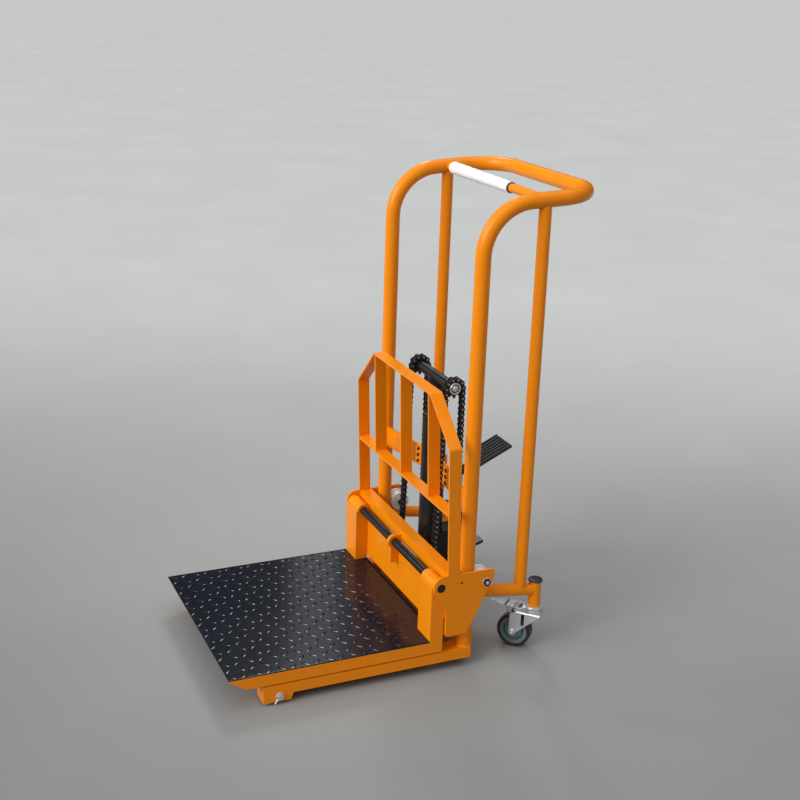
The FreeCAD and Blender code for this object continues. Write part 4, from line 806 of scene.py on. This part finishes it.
def make_backrest():
    """The leaning hoop of bent flat bar, its rail and its uprights, with their welds."""
    thick, deep = 6, 18
    half, foot, top_half = 324, 296.63, 197
    shoulder, top, rail = 664 - foot, 784 - foot, 470 - foot
    run, rise = half - top_half, top - shoulder
    slope = math.hypot(run, rise)
    inner_shoulder = shoulder - thick * (slope - rise) / run
    inner_half = half - (thick * slope + (rise - thick) * run) / rise
    inner = half - thick
    outline = [
        (half, 0), (half, shoulder), (top_half, top), (-top_half, top), (-half, shoulder), (-half, 0),
        (-inner, 0), (-inner, inner_shoulder), (-inner_half, top - thick),
        (inner_half, top - thick), (inner, inner_shoulder), (inner, 0),
    ]
    radii = (0, 12, 12, 12, 12, 0, 0, 6, 6, 6, 6, 0)
    lean = Matrix.Translation(mm((0, 110.5, foot))) @ Matrix.Rotation(math.radians(2), 4, "X")
    hoop = cut_plate(rounded(outline, radii, 4), "y", -deep, deep, 0.9)
    fit(moved(hoop, lean), "hoop_bar", "orange_paint", "carriage", ["backrest_hoop"])
    flat = slab((-inner, -deep, rail), (inner, deep, rail + thick), 0.9)
    fit(moved(flat, lean), "hoop_rail", "orange_paint", "carriage", ["backrest_rail"])
    spread = (-187, 0, 187)
    low, high = rail + thick, top - thick
    posts = [slab((x - thick / 2, -deep, low), (x + thick / 2, deep, high), 0.9) for x in spread]
    fit(moved(join(*posts), lean), "hoop_uprights", "orange_paint", "carriage", ["backrest_uprights"])
    welds = []
    run_start, run_length = 1.5 - deep, 2 * deep - 3
    for x in spread:
        for hand in (-1, 1):
            for z in (low, high):
                welds.append(bead((x + hand * 3.2, run_start, z), "y", run_length, 2.4, len(welds) + 1))
    for hand in (-1, 1):
        for z in (rail, low):
            welds.append(bead((hand * inner, run_start, z), "y", run_length, 2.4, len(welds) + 1))
    fit(moved(join(*welds), lean), "hoop_welds", "orange_paint", "carriage")


def make_roller_bolts():
    """The guide rollers' bolts: a dark head inside, a washer and a dark nut outside the upper ones."""
    upper, lower = (211.56, 259), (123.2, 132)
    washer = [(0, 0), (12.5, 0), (13, 0.5), (13, 1.5), (12.5, 2), (0, 2)]
    bolts, heads = [], []
    for side in HANDS:
        for y, z in (upper, lower):
            bolt = bar((266, y, z), "x", 6, 52.4, 0.6, 24)
            head = hexagon((262, y, z), "x", 18, 5, 1.0)
            if (y, z) == upper:
                ring = lathe(washer, (CHEEK_OUT, y, z), "x", 32)
                bolt = join(bolt, ring, bar((CHEEK_OUT + 1, y, z), "x", 5.4, 7.9, 1.2, 20))
                head = join(head, hexagon((CHEEK_OUT + 2, y, z), "x", 19, 5.4, 1.0))
            bolts.append(bolt if side > 0 else mirrored(bolt))
            heads.append(head if side > 0 else mirrored(head))
    fit(join(*bolts), "roller_bolts", "zinc_plate", "carriage", ["roller_pins"])
    fit(join(*heads), "roller_bolt_heads", "black_paint", "carriage")


# Casters

CASTER_SWING = 132
TRAIL, WHEEL_Z = 52, 50
YOKE_HALF, YOKE_PLATE, CROWN, CROWN_UNDER = 25, 3, 120, 115
BRAKE_PIN_Y, BRAKE_PIN_Z = 46, 124.5


def caster_turn(side):
    """Where a caster's own axes lie in the frame."""
    swing = Matrix.Rotation(math.radians(side * CASTER_SWING), 4, "Z")
    return Matrix.Translation(mm((side * MAST_X, POST_Y, 0))) @ swing


def caster_fork():
    """The fork, one bent plate cut to its side outline, with its races, axle and the brake's ears."""
    half, inside = YOKE_HALF, YOKE_HALF - YOKE_PLATE
    foot, front, back, clear_of = 30, -27, 66, 30
    bend = [
        (-half, foot), (-half, CROWN), (half, CROWN), (half, foot),
        (inside, foot), (inside, CROWN_UNDER), (-inside, CROWN_UNDER), (-inside, foot),
    ]
    fork = cut_plate(rounded(bend, (0, 6, 6, 0, 0, 2.5, 2.5, 0)), "y", front, back, 0)
    eye_radius = 11
    eye_front, eye_back = TRAIL - eye_radius, TRAIL + eye_radius
    turns = [math.radians(-180 + 15 * step) for step in range(13)]
    eye = [(TRAIL + eye_radius * math.cos(turn), WHEEL_Z + eye_radius * math.sin(turn)) for turn in turns]
    outline = [
        (eye_back, WHEEL_Z), (62, 108), (38, CROWN),
        (front, CROWN), (front, CROWN_UNDER), (eye_front, WHEEL_Z),
    ]
    corners = rounded(outline, (0, 7, 5, 2, 1, 0))
    carve(fork, cut_plate(corners[1:-1] + eye, "x", -clear_of, clear_of, 0), "INTERSECT")
    carve(fork, slab((-clear_of, 18, 76), (clear_of, 28, 112.5), 4, 3))
    round_edges(fork, 0.6)
    parts = [fork]
    race = [(0, 119.6), (22, 119.6), (23.6, 120.6), (24, 123), (23.4, 125.6), (21.5, 127), (0, 127)]
    parts.append(lathe(race, (0, 0, 0), "z", 40))
    parts.append(hexagon((0, 0, CROWN_UNDER), "z", 17, -6, 0.9))
    parts.append(bar((-half, TRAIL, WHEEL_Z), "x", 5, 2 * half, 0.5, 20))
    washer_thick, nut_thick = 1.4, 4.6
    washer_side = [(0, 0), (9.5, 0), (9.5, washer_thick), (0, washer_thick)]
    dome_side = [(0, 0), (5.4, 0), (5.4, 2), (4.6, 4.4), (2.6, 6.0), (0, 6.6)]
    nut_x = half + washer_thick
    dome_x = nut_x + nut_thick - 0.2
    ear_out = 20.5
    for hand in (-1, 1):
        washer = lathe(washer_side, (half, TRAIL, WHEEL_Z), "x", 28)
        nut = hexagon((nut_x, TRAIL, WHEEL_Z), "x", 15, nut_thick, 0.9)
        dome = lathe(dome_side, (dome_x, TRAIL, WHEEL_Z), "x", 20)
        ear = slab((ear_out - YOKE_PLATE, 29, CROWN_UNDER + 1), (ear_out, 50.5, 129), 0.9)
        fitting = join(washer, nut, dome, ear)
        parts.append(fitting if hand > 0 else mirrored(fitting))
    parts.append(bar((-ear_out, BRAKE_PIN_Y, BRAKE_PIN_Z), "x", 2.5, 2 * ear_out, 0.4, 16))
    return join(*parts)


def both_faces(half):
    """A wheel's section from its one face, mirrored to the other."""
    return half + [(radius, -height) for radius, height in reversed(half)]


def caster_core():
    """The dished wheel with its hub, a deep ring and a broad rim."""
    half = [
        (5.1, 21.3), (11, 21.3), (13.5, 20.6), (15, 18.6), (15.8, 15.8), (20, 14.6), (23.6, 13.6), (25, 12.2),
        (25.6, 6), (29.8, 6), (30.4, 12.6), (31.6, 14.4), (39.6, 14.8), (41.9, 13.8),
    ]
    return lathe(both_faces(half), (0, TRAIL, WHEEL_Z), "x", 56, closed=True)


def caster_tyre():
    """The tyre with its sloped shoulders."""
    half = [
        (42.1, 18), (43, 18.9), (45.6, 18.9), (47.6, 17.2), (49.4, 14.4), (50, 12), (50, 0.9), (49.7, 0.35),
    ]
    return lathe(both_faces(half), (0, TRAIL, WHEEL_Z), "x", 64, closed=True)


def caster_brake():
    """The pointed tread lever: a clamp plate, a gap, the tongue, the curl round its pin and the shoe."""
    base = [(-16.4, BRAKE_PIN_Y), (16.4, BRAKE_PIN_Y), (19.4, 82), (13, 103), (-13, 103), (-19.4, 82)]
    tongue = [(-20, 82), (20, 82), (20, 84), (4, 130), (-4, 130), (-20, 84)]
    clamp = [(52, 126.6), (78.4, 126.6), (78.4, 127.6), (66, 130.6), (52, 132)]
    curl_half, clamp_half, flange_half, flange_x = 17, 20, 1.3, 18.6
    parts = [
        cut_plate(rounded(base, (1, 1, 6, 3, 3, 6)), "z", 126, 127.2, 0.3),
        cut_plate(rounded(tongue, (0.3, 0.3, 0.3, 3, 3, 0.3), 3), "z", 127, 129, 0.6),
        slab((-curl_half, BRAKE_PIN_Y, 127), (curl_half, 60, 129), 0.7),
        cut_plate(clamp, "x", -clamp_half, clamp_half, 0.8),
        bar((-curl_half, BRAKE_PIN_Y, BRAKE_PIN_Z), "x", 4.5, 2 * curl_half, 0.6, 24),
        slab((-15, 60, 104.6), (15, 76, 126.4), 1.2),
    ]
    for hand in (-1, 1):
        x = hand * flange_x
        parts.append(slab((x - flange_half, 53, 122), (x + flange_half, 78, 128.4), 0.9))
    return join(*parts)


def caster_groove_shade():
    """A black strip laid in the gap between the brake's clamp plate and its tongue: painted shade of the
    groove.
    """
    front, back, low, top, half = 77.8, 82.6, 126.9, 128.2, 18.8
    return cut_plate([(front, low), (back, low), (back, top), (front, top)], "x", -half, half, 0.4)


def make_casters():
    """Both casters from one set of shapes, with their swivel heads and the plugs of their posts."""
    shapes = (
        (caster_fork(), "fork_pressing", "zinc_plate", "caster_fork", "caster_fork"),
        (caster_core(), "caster_core", "caster_core", "caster_wheel", "caster_wheel"),
        (caster_tyre(), "caster_tread", "maroon_tread", "caster_wheel", "caster_tyre"),
        (caster_brake(), "brake_tread", "zinc_plate", "caster_brake", "caster_brake"),
        # The black strip in the brake's groove is painted shade.
        (caster_groove_shade(), "brake_groove_shade", "black_plastic", "caster_brake", None),
    )
    for shape, name, slot, body, node in shapes:
        for word, side in SIDES:
            one = copy_of(shape, caster_turn(side))
            fit(one, f"{name}_{word}", slot, f"{body}_{word}", [f"{node}_{word}"] if node else ())
        bpy.data.objects.remove(shape)
    head = [
        (0, 127.4), (20.5, 127.4), (22, 128.4), (22.4, 131), (24, 134),
        (26.4, 136.4), (27, 138.6), (26, 140), (0, 140),
    ]
    cap = [(0, 217), (19.6, 217), (20.6, 217.8), (20.7, 219), (20, 221.4), (17.6, 223.4), (11, 224), (0, 224)]
    places = [(side * MAST_X, POST_Y, 0) for side in HANDS]
    heads = [lathe(head, place, "z", 48) for place in places]
    caps = [lathe(cap, place, "z", 40) for place in places]
    fit(join(*heads), "swivel_heads", "zinc_plate", "frame", ["caster_heads"])
    fit(join(*caps), "post_plugs", "black_plastic", "frame", ["post_caps"])


# Handle

def make_wrap():
    """The white film wound on the cross tube, creased and loose at its ends."""
    start, length, radius, taper, tube = -246, 346, 18.0, 1.8, 12.6
    profile = []
    steps = 62
    for step in range(steps + 1):
        place = step / steps
        crease = 0.6 * math.sin(step * 2.3) + 0.4 * math.sin(step * 0.9 + 1)
        profile.append((radius - taper * place + crease, place * length))
    skin = [(tube, 0)] + profile + [(tube, length)]
    film = lathe(skin, (start, STAY_Y, CROSS_TUBE_Z), "x", 28, closed=True)
    roughen(film, 0.5, 3)
    fit(film, "handle_film", "white_film", "frame", ["cross_tube_sleeve"], smooth=50)
    section = [(tube, 0), (14.6, 0), (15, 1), (14.6, 6), (13.6, 7), (tube, 7)]
    band = lathe(section, (start + length, STAY_Y, CROSS_TUBE_Z), "x", 28, closed=True)
    fit(band, "handle_band", "black_plastic", "frame")


# Pedals

def make_pump_pad():
    """The ribbed rubber pad on the pump lever."""
    start, end, half = 84, 201, 47
    ribs, rib_wide, tilt_angle = 7, 6, 25
    pad = [slab((-half, start, 6), (half, end, 13.4), 1.6, 3)]
    for number in range(ribs):
        x = -half + number * (2 * half - rib_wide) / (ribs - 1)
        pad.append(slab((x + 0.4, start + 0.6, 12), (x + rib_wide - 0.4, end - 0.6, 17), 1.4, 3))
    tilt = Matrix.Translation(mm((0, PEDAL_Y, PEDAL_Z))) @ Matrix.Rotation(math.radians(tilt_angle), 4, "X")
    fit(moved(join(*pad), tilt), "pedal_tread", "black_plastic", "pump_pedal", ["pump_pedal_pad"])


# Frame fittings

def make_frame_welds():
    """Weld runs where the tubes of the frame meet, and the marks beside the barrel."""
    mast, stay, strut, post = 21, 17, 17.5, 17.5
    start_z, fall = 223, math.tan(math.radians(8.5))
    turns = [math.radians(step * 12) for step in range(30)]
    welds = []
    for side in HANDS:
        x = side * MAST_X
        welds.append(ring_weld((x, MAST_Y, 59), "z", mast - 0.4, 3.2, len(welds) + 1))
        foot, near, far = [], [], []
        for turn in turns:
            wide, rise = strut * math.cos(turn), strut * math.sin(turn)
            y = MAST_Y + math.sqrt(mast ** 2 - wide ** 2)
            near.append((x + wide, y, start_z - (y - MAST_Y) * fall + rise))
            y = POST_Y - math.sqrt(max(post ** 2 - wide ** 2, 0))
            far.append((x + wide, y, start_z - (y - MAST_Y) * fall + rise))
            across_stay, y = stay * math.cos(turn), STAY_Y + stay * math.sin(turn)
            crest = math.sqrt(strut ** 2 - across_stay ** 2)
            foot.append((x + across_stay, y, start_z - (y - MAST_Y) * fall + crest))
        for path in (near, far, foot):
            welds.append(weld_run(path, 2.4, len(welds) + 1))
    fit(join(*welds), "frame_welds", "orange_paint", "frame")
    marks = []
    mark_x, mark_y, mark_slant = 98, 184.4, -35
    for side in HANDS:
        for z in (462, 481, 500):
            mark = bead((0, 0, 0), "z", 13, 3.4, len(marks) + 1)
            moved(mark, Matrix.Rotation(math.radians(mark_slant), 4, "Y"))
            moved(mark, Matrix.Translation(mm((mark_x, mark_y, z))))
            marks.append(mark if side > 0 else mirrored(mark))
    fit(join(*marks), "collar_welds", "black_paint", "frame")


def make_axle_ends():
    """The front axles: head, bolt, washer, nut and bent split pin."""
    parts = []
    washer = [(0, 0), (11, 0), (11, 1.6), (0, 1.6)]
    pin, pin_back, pin_x = 1.3, 9, 322.2
    pin_legs = ((142, 24), (124, 18))
    for side in HANDS:
        one = [bar((257, AXLE_Y, AXLE_Z), "x", 6, 68, 0.8, 24)]
        one.append(hexagon((256, AXLE_Y, AXLE_Z), "x", 20, 6, 1.0))
        one.append(lathe(washer, (317, AXLE_Y, AXLE_Z), "x", 32))
        one.append(hexagon((318.4, AXLE_Y, AXLE_Z), "x", 19, 6.2, 1.0))
        for swing, reach in pin_legs:
            leg = bar((0, 0, -pin_back), "z", pin, reach + pin_back, 0.5, 10)
            moved(leg, Matrix.Rotation(math.radians(swing), 4, "X"))
            one.append(moved(leg, Matrix.Translation(mm((pin_x, AXLE_Y, AXLE_Z)))))
        end = join(*one)
        parts.append(end if side > 0 else mirrored(end))
    fit(join(*parts), "axle_bolts", "zinc_plate", "frame", ["front_axles"])


make_platform()
make_chains()
make_sprocket_ends()
make_gland_ring()
make_cheeks()
make_backrest()
make_roller_bolts()
make_casters()
make_wrap()
make_pump_pad()
make_frame_welds()
make_axle_ends()
